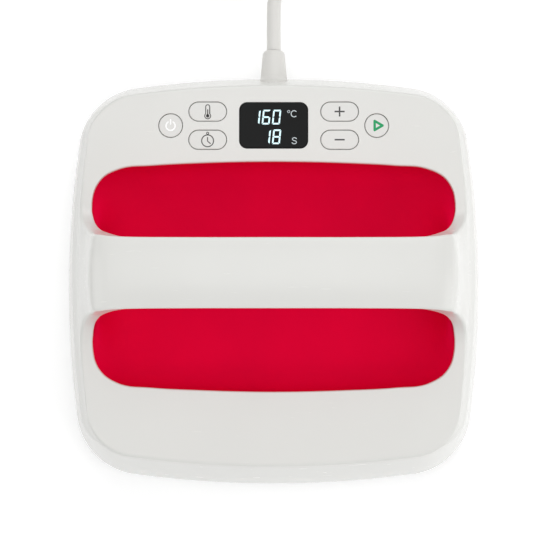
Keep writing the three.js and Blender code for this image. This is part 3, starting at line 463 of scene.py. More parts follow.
def noise(nt, vec, size_mm, detail=2.0, rough=0.5, stretch=(1, 1, 1)):
    mp = nt.nodes.new("ShaderNodeMapping")
    mp.inputs["Scale"].default_value = [s / (size_mm * MM) for s in stretch]
    nt.links.new(vec, mp.inputs["Vector"])
    n = nt.nodes.new("ShaderNodeTexNoise")
    n.inputs["Scale"].default_value = 1.0
    n.inputs["Detail"].default_value = detail
    n.inputs["Roughness"].default_value = rough
    nt.links.new(mp.outputs["Vector"], n.inputs["Vector"])
    return n.outputs["Fac"]


def ramp(nt, fac, lo, hi, a, b):
    r = nt.nodes.new("ShaderNodeMapRange")
    r.inputs["From Min"].default_value, r.inputs["From Max"].default_value = lo, hi
    r.inputs["To Min"].default_value, r.inputs["To Max"].default_value = a, b
    nt.links.new(fac, r.inputs["Value"])
    return r.outputs["Result"]


def mix_color(nt, fac, a, b):
    x = nt.nodes.new("ShaderNodeMix")
    x.data_type = "RGBA"
    nt.links.new(fac, x.inputs["Factor"])
    for sock, c in ((x.inputs["A"], a), (x.inputs["B"], b)):
        if isinstance(c, (tuple, list)):
            sock.default_value = (*c, 1.0)
        else:
            nt.links.new(c, sock)
    return [o for o in x.outputs if o.type == "RGBA"][0]


def bump(nt, bs, height, dist_mm, strength=1.0, prev=None):
    b = nt.nodes.new("ShaderNodeBump")
    b.inputs["Distance"].default_value = dist_mm * MM
    b.inputs["Strength"].default_value = strength
    nt.links.new(height, b.inputs["Height"])
    if prev is not None:
        nt.links.new(prev, b.inputs["Normal"])
    nt.links.new(b.outputs["Normal"], bs.inputs["Normal"])
    return b.outputs["Normal"]


def plastic(name, color, rough, rough_spread=0.05, vary=0.02, grain=None, spec=0.5, coat=0.0, scuff=True):
    """moulded plastic: slight tone drift, roughness drift with fine rub marks, and a skin of the given grain (size, depth in mm)"""
    m, nt, bs, vec = principled(name)
    big = noise(nt, vec, 55, 2)
    lo, hi = [c * (1 - vary) for c in color], [min(1, c * (1 + vary)) for c in color]
    nt.links.new(mix_color(nt, ramp(nt, big, 0.35, 0.65, 0, 1), lo, hi), bs.inputs["Base Color"])
    r = ramp(nt, noise(nt, vec, 18, 3), 0.3, 0.7, rough - rough_spread, rough + rough_spread)
    if scuff:
        marks = ramp(nt, noise(nt, vec, 1.6, 4, 0.6, (0.12, 1, 1)), 0.62, 0.74, 0, 0.05)
        ad = nt.nodes.new("ShaderNodeMath")
        ad.operation = "ADD"
        nt.links.new(r, ad.inputs[0])
        nt.links.new(marks, ad.inputs[1])
        r = ad.outputs[0]
    nt.links.new(r, bs.inputs["Roughness"])
    bs.inputs["Specular IOR Level"].default_value = spec
    bs.inputs["Coat Weight"].default_value = coat
    if grain:
        bump(nt, bs, noise(nt, vec, grain[0], 3, 0.6), grain[1])
    return m


def metal(name, color, rough, brush=None, vary=0.06):
    m, nt, bs, vec = principled(name)
    tone = noise(nt, vec, 14, 3)
    nt.links.new(mix_color(nt, ramp(nt, tone, 0.3, 0.7, 0, 1), [c * (1 - vary) for c in color], [min(1, c * (1 + vary)) for c in color]), bs.inputs["Base Color"])
    bs.inputs["Metallic"].default_value = 1.0
    g = noise(nt, vec, 0.9, 3, 0.6, brush or (1, 1, 1))
    nt.links.new(ramp(nt, g, 0.3, 0.7, rough - 0.07, rough + 0.09), bs.inputs["Roughness"])
    bump(nt, bs, g, 0.02)
    return m


def glow(name, color, strength, base=None):
    m, nt, bs, vec = principled(name)
    n = noise(nt, vec, 2.5, 2)
    c = mix_color(nt, ramp(nt, n, 0.3, 0.7, 0, 1), [x * 0.94 for x in color], color)
    nt.links.new(c, bs.inputs["Base Color"])
    nt.links.new(c, bs.inputs["Emission Color"])
    bs.inputs["Emission Strength"].default_value = strength
    bs.inputs["Roughness"].default_value = 0.5
    return m


def print_ink(name, color):
    m, nt, bs, vec = principled(name)
    n = noise(nt, vec, 0.5, 3)
    nt.links.new(mix_color(nt, ramp(nt, n, 0.3, 0.7, 0, 1), [x * 0.9 for x in color], [min(1, x * 1.1) for x in color]), bs.inputs["Base Color"])
    nt.links.new(ramp(nt, n, 0.3, 0.7, 0.42, 0.52), bs.inputs["Roughness"])
    return m


HOUSING = plastic("housing_white", (0.80, 0.80, 0.772), 0.24, 0.03, 0.006, grain=(2.4, 0.0035), spec=0.5)
RED = plastic("liner_red", (0.81, 0.0, 0.043), 0.55, 0.05, 0.03, grain=(0.42, 0.05), spec=0.03, scuff=False)
BASE = plastic("base_grey", (0.47, 0.475, 0.465), 0.5, 0.05, 0.02, grain=(0.5, 0.04), spec=0.4)
KEYM = plastic("key_white", (0.80, 0.80, 0.775), 0.34, 0.03, 0.006, grain=(0.35, 0.006), spec=0.4)
JACKET = plastic("cord_jacket", (0.775, 0.765, 0.735), 0.42, 0.05, 0.02, grain=(0.7, 0.02), spec=0.4)
BLACKM = plastic("black_plastic", (0.018, 0.018, 0.02), 0.45, 0.05, 0.1, grain=(0.5, 0.03))
GLASSM = plastic("display_glass", (0.009, 0.0094, 0.0094), 0.16, 0.03, 0.08, grain=(6.0, 0.002), spec=0.09)
SILI = plastic("silicone", (0.66, 0.645, 0.60), 0.6, 0.05, 0.03, grain=(0.8, 0.03), spec=0.35, scuff=False)
YELLOW = plastic("component_yellow", (0.62, 0.42, 0.06), 0.5, 0.05, 0.06, grain=(0.9, 0.03))
MICA = plastic("mica", (0.58, 0.50, 0.31), 0.75, 0.08, 0.14, grain=(1.5, 0.08), scuff=False)
STEEL = metal("steel", (0.55, 0.555, 0.56), 0.34, (0.1, 1, 1))
ALU = metal("aluminium", (0.66, 0.67, 0.685), 0.36, (0.08, 1, 1))
NICKEL = metal("plug_nickel", (0.74, 0.735, 0.71), 0.2, (1, 1, 1))


def circuit():
    m, nt, bs, vec = principled("circuit_board")
    tracks = nt.nodes.new("ShaderNodeTexBrick")
    mp = nt.nodes.new("ShaderNodeMapping")
    mp.inputs["Scale"].default_value = (120, 120, 120)
    nt.links.new(vec, mp.inputs["Vector"])
    nt.links.new(mp.outputs["Vector"], tracks.inputs["Vector"])
    tracks.inputs["Color1"].default_value = (0.012, 0.13, 0.045, 1)
    tracks.inputs["Color2"].default_value = (0.015, 0.16, 0.055, 1)
    tracks.inputs["Mortar"].default_value = (0.05, 0.24, 0.09, 1)
    nt.links.new(tracks.outputs["Color"], bs.inputs["Base Color"])
    nt.links.new(ramp(nt, noise(nt, vec, 3, 2), 0.3, 0.7, 0.32, 0.48), bs.inputs["Roughness"])
    return m


def coated_plate():
    """dark ceramic coating: fine light and dark fleck over a faint orange peel, rubbed a little smoother in patches"""
    m, nt, bs, vec = principled("plate_coating")
    fleck = ramp(nt, noise(nt, vec, 0.8, 4, 0.7), 0.60, 0.68, 0, 1)
    tone = mix_color(nt, ramp(nt, noise(nt, vec, 40, 3), 0.35, 0.65, 0, 1), (0.040, 0.040, 0.043), (0.056, 0.056, 0.060))
    nt.links.new(mix_color(nt, fleck, tone, (0.17, 0.17, 0.175)), bs.inputs["Base Color"])
    nt.links.new(ramp(nt, noise(nt, vec, 25, 4, 0.6), 0.3, 0.7, 0.30, 0.46), bs.inputs["Roughness"])
    bs.inputs["Metallic"].default_value = 0.25
    bump(nt, bs, noise(nt, vec, 0.9, 3), 0.03)
    return m


def sleeve():
    """glass-fibre braid: two crossed sets of fine waves"""
    m, nt, bs, vec = principled("wire_sleeve")
    out = []
    for rot in (0.8, -0.8):
        mp = nt.nodes.new("ShaderNodeMapping")
        mp.inputs["Rotation"].default_value = (0, 0, rot)
        mp.inputs["Scale"].default_value = (1400, 1400, 1400)
        nt.links.new(vec, mp.inputs["Vector"])
        w = nt.nodes.new("ShaderNodeTexWave")
        w.inputs["Scale"].default_value = 1.0
        nt.links.new(mp.outputs["Vector"], w.inputs["Vector"])
        out.append(w.outputs["Fac"])
    mx = nt.nodes.new("ShaderNodeMath")
    mx.operation = "MAXIMUM"
    nt.links.new(out[0], mx.inputs[0])
    nt.links.new(out[1], mx.inputs[1])
    nt.links.new(mix_color(nt, mx.outputs[0], (0.52, 0.48, 0.40), (0.80, 0.77, 0.69)), bs.inputs["Base Color"])
    bs.inputs["Roughness"].default_value = 0.8
    bump(nt, bs, mx.outputs[0], 0.15)
    return m


CIRCUIT, COATING, SLEEVE = circuit(), coated_plate(), sleeve()
INK = print_ink("icon_grey", (0.065, 0.062, 0.062))
GREEN = glow("icon_green", (0.0, 0.31, 0.105), 0.16)
WHITE_LIGHT = glow("icon_white", (0.95, 0.96, 0.96), 0.22)
DIGIT = glow("digit_light", (0.60, 0.82, 0.86), 0.62)
UNIT = glow("unit_light", (0.50, 0.55, 0.57), 0.46)
SLOT_MATERIAL = dict(housing_white=HOUSING, liner_red=RED, base_grey=BASE, plate_coating=COATING, steel=STEEL, aluminium=ALU, mica=MICA,
                     silicone=SILI, circuit_board=CIRCUIT, black_plastic=BLACKM, display_glass=GLASSM, key_white=KEYM, cord_jacket=JACKET,
                     component_yellow=YELLOW, wire_sleeve=SLEEVE, plug_nickel=NICKEL)
NODE_SLOT = {s["node"]: s["material_slot"] for s in frame["record"]["subparts"]}
for node, ob in frame["nodes"].items():
    while len(ob.material_slots) < 1:
        ob.data.materials.append(None)
    for ms in ob.material_slots:
        ms.material = SLOT_MATERIAL[NODE_SLOT[node]]

# ------------------------------------------------------------------ mains cord
COIL, COIL_R0, COIL_PITCH, COIL_Z = (-20.0, 263.0), 60.0, 9.4, (6.4, 15.7)
path = [[0, 147.3 + 12.5 * i, CORD_Z] for i in range(3)]
p0, p3 = [0, 172.3, CORD_Z], [COIL[0] + COIL_R0, COIL[1], COIL_Z[0]]
p1, p2 = vadd(p0, [0, 46, 0]), vadd(p3, [0, -46, 0])
for i in range(1, 25):
    t = i / 24
    m = 1 - t
    path.append([m ** 3 * p0[k] + 3 * m * m * t * p1[k] + 3 * m * t * t * p2[k] + t ** 3 * p3[k] for k in range(3)])
TURN = 36
n_turn = int(5.25 * TURN)
for i in range(1, n_turn + 1):
    a = 360.0 * i / TURN
    if a <= 900:
        r = COIL_R0 - COIL_PITCH * a / 360
    else:
        r = COIL_R0 - COIL_PITCH * 2.5 + COIL_PITCH * (a - 900) / 360
    z = COIL_Z[0] + (COIL_Z[1] - COIL_Z[0]) * smooth(a, 880, 935)
    path.append([COIL[0] + r * cos(radians(a)), COIL[1] + r * sin(radians(a)), z])
END_Y, END_R = path[-1][1], hypot(path[-1][0] - COIL[0], path[-1][1] - COIL[1])
PLUG_Y, PLUG_Z, TAIL_X = COIL[1] + 62.3, 18.9, COIL[0] - 37.5
PLUG_X = TAIL_X - 14
for i in range(1, 9):
    t = i / 8
    x = COIL[0] + (PLUG_X + 0.4 - COIL[0]) * t
    path.append([x, END_Y + (PLUG_Y - END_Y) * t, COIL_Z[1] + (PLUG_Z - COIL_Z[1]) * smooth(t, 0.15, 1.0)])
cd = bpy.data.curves.new("mains_cord", "CURVE")
cd.dimensions = "3D"
sp = cd.splines.new("POLY")
sp.points.add(len(path) - 1)
for q, p in zip(sp.points, path):
    q.co = (p[0] * MM, p[1] * MM, p[2] * MM, 1.0)
sp.use_smooth = True
cd.bevel_depth, cd.bevel_resolution, cd.use_fill_caps = CORD_R * MM, 5, True
cd.materials.append(JACKET)
cord = bpy.data.objects.new("mains_cord", cd)
scene.collection.objects.link(cord)
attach(cord, "press")
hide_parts("power_cord", "cord_coil", "cord_tail")
cord_len = sum(hypot(*(vsub(b, a)[:2])) if abs(b[2] - a[2]) < 1e-9 else sqrt(sum(c * c for c in vsub(b, a))) for a, b in zip(path, path[1:])) * MM
print("cord length", round(cord_len, 4))

# plug: moulded two-pin body with side earth contacts, axis -X
kp = Kit()
prof = [(4.9, -0.2), (5.6, 0.0), (6.2, 0.5), (6.5, 3.0), (6.9, 6.0), (7.6, 12.0), (8.3, 15.5), (9.5, 19.0), (11.6, 22.4), (14.5, 26.0), (16.9, 29.0),
        (18.1, 31.2), (18.5, 33.0), (18.5, 34.4), (18.5, 36.0), (18.5, 40.0), (18.5, 44.0), (18.5, 46.0), (18.3, 46.6), (17.8, 47.0), (16.5, 47.0), (13.0, 47.0), (0.01, 47.0)]
NSEG = 96
prows = []
for r, h in prof:
    row = []
    for k in range(NSEG):
        a = 2 * pi * k / NSEG
        rr = r
        if 15.5 <= h <= 30 and r < 17.2:   # finger grip ribs on the neck
            rr = r * (1 - 0.02 * max(0.0, cos(a * 12)) * (1 if r > 8 else 0))
        lx, ly = rr * cos(a), rr * sin(a)
        if h >= 34.4 and abs(ly) < 3.25 and abs(lx) > 15.7:
            lx = math.copysign(15.7, lx)
        row.append([PLUG_X - h, PLUG_Y + ly, PLUG_Z + lx])
    prows.append(row)
pr = kp.rows(prows)
kp.grid(pr, closed=True, flip=False)
for g in (3.0, 6.0, 9.0, 12.0):        # grip rings on the cord end: each ring list comes out empty, so none is built
    ring = [[PLUG_X - h, PLUG_Y + r * cos(2 * pi * k / 48), PLUG_Z + r * sin(2 * pi * k / 48)] for r, h in () for k in range(48)]
kp.mat = 1
for s in (1, -1):                      # earth contact strips, lying in the side slots
    x0, x1 = PLUG_X - 35.0, PLUG_X - 46.6
    za, zb = PLUG_Z + s * 15.2, PLUG_Z + s * 15.95
    loop = [(x0, -2.6), (x0, 2.6), (x1, 2.6), (x1, -2.6)]
    lo_, hi_ = [kp.add([x, PLUG_Y + y, za]) for x, y in loop], [kp.add([x, PLUG_Y + y, zb]) for x, y in loop]
    kp.grid([lo_, hi_], closed=True, flip=s < 0)
    kp.face(*(hi_ if s < 0 else hi_[::-1]))
plug = make("mains_plug", kp, [JACKET, NICKEL], sharp=40)
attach(plug, "press"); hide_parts("plug_body")

# strain relief: one moulded taper with a collar behind the wall and a soft nose
kr = Kit()
prof = [(0.01, 112.6), (9.8, 112.6), (9.8, 126.6), (9.4, 127.2), (8.62, 128.8), (8.5, 129.6), (8.3, 131.8), (7.9, 136.2), (7.55, 140.4), (7.25, 143.6), (7.15, 144.5),
        (6.98, 145.2), (6.7, 145.9), (6.25, 146.5), (5.7, 146.85), (5.1, 147.0), (4.62, 147.0), (4.5, 146.4)]
rr_rows = []
wall_y = wall_point(pi / 2, CORD_Z)[1]
for r, y in prof:
    rr_rows.append([[r * cos(2 * pi * k / 64), y, CORD_Z + r * sin(2 * pi * k / 64)] for k in range(64)])
kr.grid(kr.rows(rr_rows), closed=True, flip=True)
relief = make("cord_relief", kr, JACKET, sharp=50)
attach(relief, "press"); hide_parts("strain_relief")

# tie: a soft strap looped round the bundle
kt = Kit()
TIE = radians(200)
ri, ro, z0, z1 = 31.2, 61.9, 1.05, 21.0
cr, cz = (ri + ro) / 2, (z0 + z1) / 2


def tie_ring(off, hw):
    q = round_rect((ro - ri) / 2 + off, (z1 - z0) / 2 + off, 4.4 + off, 6)
    return [[COIL[0] + (cr + a) * cos(TIE) - hw * sin(TIE), COIL[1] + (cr + a) * sin(TIE) + hw * cos(TIE), cz + b] for a, b in q]
secs = [tie_ring(0.0, -4.7), tie_ring(0.12, -5.0), tie_ring(0.65, -5.0), tie_ring(0.8, -4.7), tie_ring(0.8, 4.7), tie_ring(0.65, 5.0), tie_ring(0.12, 5.0), tie_ring(0.0, 4.7)]
sr = kt.rows(secs)
kt.grid(sr + [sr[0]], closed=True)
tie = make("coil_strap", kt, SILI, sharp=60)
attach(tie, "press"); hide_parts("coil_tie")

# ------------------------------------------------------------------ housing
STEPS = [8, 8, 6, 10, 10, 6, 8, 22, 12, 10, 12, 14, 6]
s_right = []
for k, n in enumerate(STEPS):
    s_right += [k + i / n for i in range(n)]
s_right.append(13.0)
LOOP = s_right + [26 - s for s in reversed(s_right[1:-1])]
NL = len(LOOP)
Z_TOP = Z_RIM
Z_ROWS = [Z_SKIRT, 13.25, 13.9, 15, 16.5, 18, 20, 22.5, 25.5, 29, 33, 37, 41, 45, 49, 52.6, 53.0, 53.5, 55, 57, 59, 60.6, Z_TOP]
NF = 20
UF = [-1 + 2 * j / NF for j in range(NF + 1)]
i7, i19 = LOOP.index(7.0), LOOP.index(19.0)

kh = Kit()
cols, colidx = [], {}
def add_col(kind, *key):
    colidx[(kind,) + key] = len(cols)
    cols.append((kind,) + key)
for j in range(1, NF):
    add_col("foot", j, 1)                        # right foot, front to back
for i in range(i7, -1, -1):
    add_col("deck", i, 1)                        # back, right to middle
for i in range(NL - 1, i19 - 1, -1):
    add_col("deck", i, 1)                        # back, middle to left
for j in range(NF - 1, 0, -1):
    add_col("foot", j, -1)                       # left foot, back to front
for i in range(i19, NL):
    add_col("deck", i, -1)
for i in range(0, i7 + 1):
    add_col("deck", i, -1)


def col_phi(c):
    if c[0] == "foot":
        p = asin(UF[c[1]] * LEG_BASE / (RA - SIDE_LEAN))
        return p if c[2] > 0 else pi - p
    s, side = LOOP[c[1]], c[2]
    p = phi_of(s if s <= 13 else 26 - s)
    if s > 13:
        p = pi - p
    return side * p


def skirt(z):  # small radius on the bottom edge of the skirt
    return 0.5 * (1 - sqrt(max(0.0, 1 - ((14.0 - z) / 1.0) ** 2))) if z < 14.0 else 0.0


wall_rows = []
for z in Z_ROWS:
    row = []
    for c in cols:
        p = col_phi(c)
        q = z if z == Z_TOP else row_height(z, p)
        row.append(kh.add([*outline(p, lean_at(q, p) + skirt(q), shift_at(q)), q]))
    wall_rows.append(row)
in_rows = []
for z, d in ((Z_SKIRT, 1.7), (16.0, 2.6), (30.0, 4.2)):
    in_rows.append([kh.add([*outline(col_phi(c), lean_at(z, col_phi(c)) + d, shift_at(z)), z]) for c in cols])
kh.grid([in_rows[2], in_rows[1], in_rows[0]] + wall_rows, closed=True)
top = wall_rows[-1]


def foot_id(j, right):
    if j == 0:
        return top[colidx[("deck", i7 if right else i19, -1)]]
    if j == NF:
        return top[colidx[("deck", i7 if right else i19, 1)]]
    return top[colidx[("foot", j, 1 if right else -1)]]


def strap_edge(q):
    """height and half width at which the strap's face meets its edge rounding"""
    e = 0.01
    z, w = leg_edge(q - 7)
    za, wa = leg_edge(max(0.0, q - 7 - e))
    zb, wb = leg_edge(min(4.0, q - 7 + e))
    _, d = leg_point(leg_at(z) if z > Z_DECK else 0.0)
    arc = hypot(*d) / d[1]
    da, dy = (zb - za) * arc, wb - wa
    l = hypot(da, dy)
    at_, yt = da / l, dy / l
    k = 1 - smooth(q, 10, 11)
    yt *= k
    at_ = sqrt(1 - yt * yt)
    return z + R_EDGE * yt / arc, w - R_EDGE * at_


strap_rows = []
for i in range(i7, i19 + 1):
    s = LOOP[i]
    if i == i7:
        strap_rows.append([foot_id(j, True) for j in range(NF + 1)])
        continue
    if i == i19:
        strap_rows.append([foot_id(j, False) for j in range(NF + 1)])
        continue
    q = s if s <= 13 else 26 - s
    if q <= 11:
        zb, yb = strap_edge(q)
        rw = leg_row(zb) if zb > Z_DECK else None
        pts = [leg_surface(zb, u * yb, rw) for u in UF]
    else:
        r = strap_row(q)
        pts = [on_row(r, u * (r["w"] - R_EDGE)) for u in UF]
    strap_rows.append([kh.add(p if s <= 13 else [-p[0], p[1], p[2]]) for p in pts])
kh.grid(strap_rows)


def lip_drop(s):
    f = s % 26
    return smooth(min(f, 26 - f), 5.5, 7.5)


KEYS = [("power", -64.2, 94.05, 7.7, 7.7), ("temperature", -41.1, 102.85, 12.05, 6.3), ("timer", -41.1, 85.15, 12.05, 6.3),
        ("plus", 41.1, 102.85, 12.05, 6.3), ("minus", 41.1, 85.15, 12.05, 6.3), ("start", 64.2, 94.05, 7.7, 7.7)]
WIN = (0.0, 94.2, 21.5, 14.6, 5.0)


def key_loop(k, grow, n=10):
    return round_rect(k[3] + grow, k[4] + grow, k[4] + grow, n, k[1], k[2])


def win_loop(grow, n=8):
    return round_rect(WIN[2] + grow, WIN[3] + grow, WIN[4] + grow, n, WIN[0], WIN[1])


N_FIL, N_LIP = 8, 6
for side in (1, -1):
    rows = []
    for i, s in enumerate(LOOP):
        if i <= i7 or i >= i19:
            pa = top[colidx[("deck", i, side)]]
        else:
            pa = strap_rows[i - i7][NF if side > 0 else 0]
        c, m, n = C(s, side), M(s, side), rim_normal(s, side)
        to_m = vunit(vsub(m, c))
        Pa, Pb = list(kh.v[pa]), vadd(c, vmul(to_m, R_EDGE))
        Ma, Mb, Mi = vsub(m, vmul(to_m, R_LIP)), vsub(m, vmul(n, R_LIP)), vsub(m, vmul(n, WALL))
        row = [pa] + [kh.add(bezier(Pa, c, Pb, t / N_FIL)) for t in range(1, N_FIL + 1)]
        row.append(kh.add(vmix(Pb, Ma, 0.5)))
        row += [kh.add(bezier(Ma, m, Mb, t / N_LIP)) for t in range(0, N_LIP + 1)]
        row.append(kh.add(Mi))
        row.append(kh.add(vadd(Mi, vmul(to_m, -3.0))))
        rows.append(row)
    iPb, iMid, iMa = N_FIL, N_FIL + 1, N_FIL + 2
    i6, i20 = LOOP.index(6.0), LOOP.index(20.0)
    for i in range(NL):
        k = (i + 1) % NL
        flat = side > 0 and (i < i6 or i >= i20)
        for j in range(len(rows[0]) - 1):
            if flat and iPb <= j < iMa:
                continue
            q = (rows[i][j], rows[k][j], rows[k][j + 1], rows[i][j + 1])
            kh.face(*(q if side < 0 else q[::-1]))
    if side > 0:
        order = list(range(i20, NL)) + list(range(0, i6 + 1))
        outer = [rows[i][iPb] for i in order] + [rows[order[-1]][iMid]] + [rows[i][iMa] for i in reversed(order)] + [rows[order[0]][iMid]]
        holes = []
        for loops in [[key_loop(k, g) for g in (0.22, 0.13, 0.04, 0.0, 0.0)] for k in KEYS] + [[win_loop(g) for g in (0.22, 0.13, 0.04, 0.0, 0.0)]]:
            hr = [[kh.add([p[0], p[1], z]) for p in L] for L, z in zip(loops, (64.0, 63.97, 63.86, 63.7, 60.6))]
            kh.grid(hr, closed=True, flip=True)
            holes.append(hr[0])
        flat_fill(kh, outer, holes)
shell = make("shell_housing", kh, HOUSING, sharp=50)
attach(shell, "press"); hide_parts("top_shell")

# ------------------------------------------------------------------ red hollow and grip
def tunnel(s, f, g, side):
    m, c, n = M(s, side), C(s, side), rim_normal(s, side)
    out, k = vunit(vsub(c, m)), lip_drop(s)
    start = vadd(vsub(m, vmul(n, WALL + 0.35 + 0.45 * k)), vmul(out, 0.6 - 0.4 * k))
    mid = MID(s)
    return [start[0] + (mid[0] - start[0]) * f, start[1] * g, start[2] + (mid[2] - start[2]) * f]


def super_arc(alpha):
    c, s = abs(cos(alpha)), abs(sin(alpha))
    r = 1 / (c ** 3 + s ** 3) ** (1 / 3)
    return r * c, r * s


NA = 30
ALPHA = [pi / 2 * k / NA for k in range(-NA, NA + 1)]


def liner(name, s_list, node):
    kl = Kit()
    P = []
    for s in s_list:
        P.append([tunnel(s, *super_arc(a), 1 if a >= 0 else -1) for a in ALPHA])
    n, m = len(P), len(ALPHA)
    N = []
    for i in range(n):
        row = []
        for j in range(m):
            a = vsub(P[min(n - 1, i + 1)][j], P[max(0, i - 1)][j])
            c = vsub(P[i][min(m - 1, j + 1)], P[i][max(0, j - 1)])
            row.append(vunit(vcross(a, c)))
        N.append(row)
    face = kl.rows(P)
    back = kl.rows([[vsub(P[i][j], vmul(N[i][j], LINER)) for j in range(m)] for i in range(n)])
    kl.grid(face, flip=True)
    kl.grid(back)
    kl.grid([[r[0] for r in face], [r[0] for r in back]])
    kl.grid([[r[-1] for r in face], [r[-1] for r in back]], flip=True)
    kl.grid([face[0], back[0]], flip=True)
    kl.grid([face[-1], back[-1]])
    ob = make(name, kl, RED, sharp=60)
    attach(ob, "press"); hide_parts(node)
    return ob


SEAM, SG = 8.5, 0.016
s_bowl = [-(SEAM - SG)] + [s - 26 for s in LOOP if s > 26 - SEAM + 0.02] + [s for s in LOOP if s < SEAM - 0.02] + [SEAM - SG]
s_grip = [SEAM + SG] + [s for s in LOOP if SEAM + 0.02 < s < 26 - SEAM - 0.02] + [26 - SEAM - SG]
liner("hollow_liner", s_bowl, "bowl_liner")
liner("grip_underside", s_grip, "grip_cover")

# ------------------------------------------------------------------ base ring
def outline_loop(d, n=22):
    qs = [PHI1 * i / 8 for i in range(9)] + [PHI1 + (PHI2 - PHI1) * i / n for i in range(1, n + 1)] + [PHI2 + (pi / 2 - PHI2) * i / 8 for i in range(1, 9)]
    phis = []
    for q in range(4):
        part = [pi / 2 - v for v in reversed(qs)] if q % 2 else qs
        phis += [v + q * pi / 2 for v in part[:-1]]
    return [outline(f, d) for f in phis]


kb = Kit()
BOSS = [(123.4, 58.0), (-123.4, 58.0), (123.4, -58.0), (-123.4, -58.0)]
outer_prof = [(4.62, 7.0), (4.42, 7.04), (4.2, 7.18), (4.0, 7.4), (2.9, 8.4), (2.35, 9.0), (2.05, 9.8), (1.75, 10.8), (1.35, 12.2), (1.3, 12.5), (1.45, 12.66), (1.7, 12.7), (4.9, 12.7), (4.9, 16.4), (5.4, 16.5), (7.5, 16.5)]
rows = [[kb.add([p[0], p[1], z]) for p in outline_loop(d)] for d, z in outer_prof]
kb.grid(rows, closed=True)
inner_prof = [(116.5, 40.0, 7.0), (116.15, 39.65, 7.12), (116.0, 39.5, 7.5), (116.0, 39.5, 13.6)]
irows = [[kb.add([p[0], p[1], z]) for p in round_rect(h, h, r, 18)] for h, r, z in inner_prof]
irows.append([kb.add([p[0], p[1], 13.6]) for p in round_rect(100, 100, 45, 18)])
kb.grid(irows, closed=True, flip=True)
holes = []
for x, y in BOSS:
    circ = lambda r: [[x + r * cos(2 * pi * k / 40), y + r * sin(2 * pi * k / 40)] for k in range(40)]
    hr = [[kb.add([p[0], p[1], z]) for p in circ(r)] for r, z in ((3.86, 7.0), (3.8, 7.12), (3.8, 11.2), (0.02, 11.2))]
    kb.grid(hr, closed=True, flip=True)
    holes.append(hr[0])
flat_fill(kb, rows[0], holes + [irows[0]], up=False)
base = make("base_skirt", kb, BASE, sharp=45)
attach(base, "press"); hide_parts("base_ring")

# ------------------------------------------------------------------ heated plate
kq = Kit()
pp = [(PLATE - 1.1, 0.0), (PLATE - 0.75, 0.06), (PLATE - 0.4, 0.25), (PLATE - 0.12, 0.62), (PLATE, 1.1), (PLATE, 7.5), (PLATE - 0.15, 7.85), (PLATE - 0.5, 8.0)]
loft(kq, [round_rect(h, h, PLATE_R - (PLATE - h), 20) for h, _ in pp], [z for _, z in pp])
for sx in (1, -1):
    for sy in (1, -1):
        circ = [[sx * 94 + 4.5 * cos(2 * pi * k / 32), sy * 94 + 4.5 * sin(2 * pi * k / 32)] for k in range(32)]
        loft(kq, [circ, circ], [7.9, 13.3], cap0=False)
plate = make("coated_plate", kq, COATING, sharp=30)
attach(plate, "press"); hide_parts("heat_plate")

# ------------------------------------------------------------------ keys, window
for k in KEYS:
    kk = Kit()
    sec = [(0.8, 60.3), (0.8, 61.2), (-0.44, 61.2), (-0.46, 63.45), (-0.51, 63.68), (-0.64, 63.86), (-0.84, 63.97), (-1.14, 64.0)]
    loft(kk, [key_loop(k, g) for g, _ in sec], [z for _, z in sec])
    circ = [[k[1] + 1.5 * cos(2 * pi * j / 24), k[2] + 1.5 * sin(2 * pi * j / 24)] for j in range(24)]
    loft(kk, [circ, circ], [57.6, 60.3], cap1=False)
    cap = make(f"cap_{k[0]}", kk, KEYM, sharp=40)
    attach(cap, f"{k[0]}_key"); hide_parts(f"key_{k[0]}")
kw = Kit()
sec = [(1.8, 59.7), (1.8, 61.2), (-0.35, 61.2), (-0.35, 63.5), (-0.42, 63.72), (-0.6, 63.86), (-0.85, 63.9)]
loft(kw, [win_loop(g, 10) for g, _ in sec], [z for _, z in sec])
window = make("window_lens", kw, GLASSM, sharp=40)
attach(window, "press"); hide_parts("display_window")

# ------------------------------------------------------------------ printed and lit marks
def ribbon(kit, P, w, z0, z1, closed=False, cap=5):
    """a flat stroke of width w along P with round ends"""
    n = len(P)
    L, R = [], []
    for i in range(n):
        a = P[(i - 1) % n] if closed or i > 0 else P[i]
        b = P[(i + 1) % n] if closed or i < n - 1 else P[i]
        t = vunit(vsub(b, a))
        nx, ny = -t[1], t[0]
        k = 1.0
        if closed or 0 < i < n - 1:
            t1 = vunit(vsub(P[i], P[(i - 1) % n]))
            k = 1 / max(0.5, abs(t1[0] * t[0] + t1[1] * t[1]))
        L.append([P[i][0] + nx * w / 2 * k, P[i][1] + ny * w / 2 * k])
        R.append([P[i][0] - nx * w / 2 * k, P[i][1] - ny * w / 2 * k])
    if closed:
        lo = [[kit.add([*p, z0]) for p in q] for q in (L, R)]
        hi = [[kit.add([*p, z1]) for p in q] for q in (L, R)]
        kit.grid([lo[0], hi[0], hi[1], lo[1], lo[0]], closed=True, flip=True)
        return
    def endcap(p, q, sign):
        c = [(p[0] + q[0]) / 2, (p[1] + q[1]) / 2]
        a0 = atan2(p[1] - c[1], p[0] - c[0])
        return [[c[0] + w / 2 * cos(a0 + sign * pi * j / cap), c[1] + w / 2 * sin(a0 + sign * pi * j / cap)] for j in range(1, cap)]
    poly = R + endcap(R[-1], L[-1], 1) + L[::-1] + endcap(L[0], R[0], 1)
    solid(kit, poly, z0, z1)


def solid(kit, poly, z0, z1, holes=()):
    lo = [kit.add([*p, z0]) for p in poly]
    hi = [kit.add([*p, z1]) for p in poly]
    kit.grid([lo, hi], closed=True)
    hh = []
    for h in holes:
        a, b = [kit.add([*p, z0]) for p in h], [kit.add([*p, z1]) for p in h]
        kit.grid([a, b], closed=True, flip=True)
        hh.append(b)
    flat_fill(kit, hi, hh)


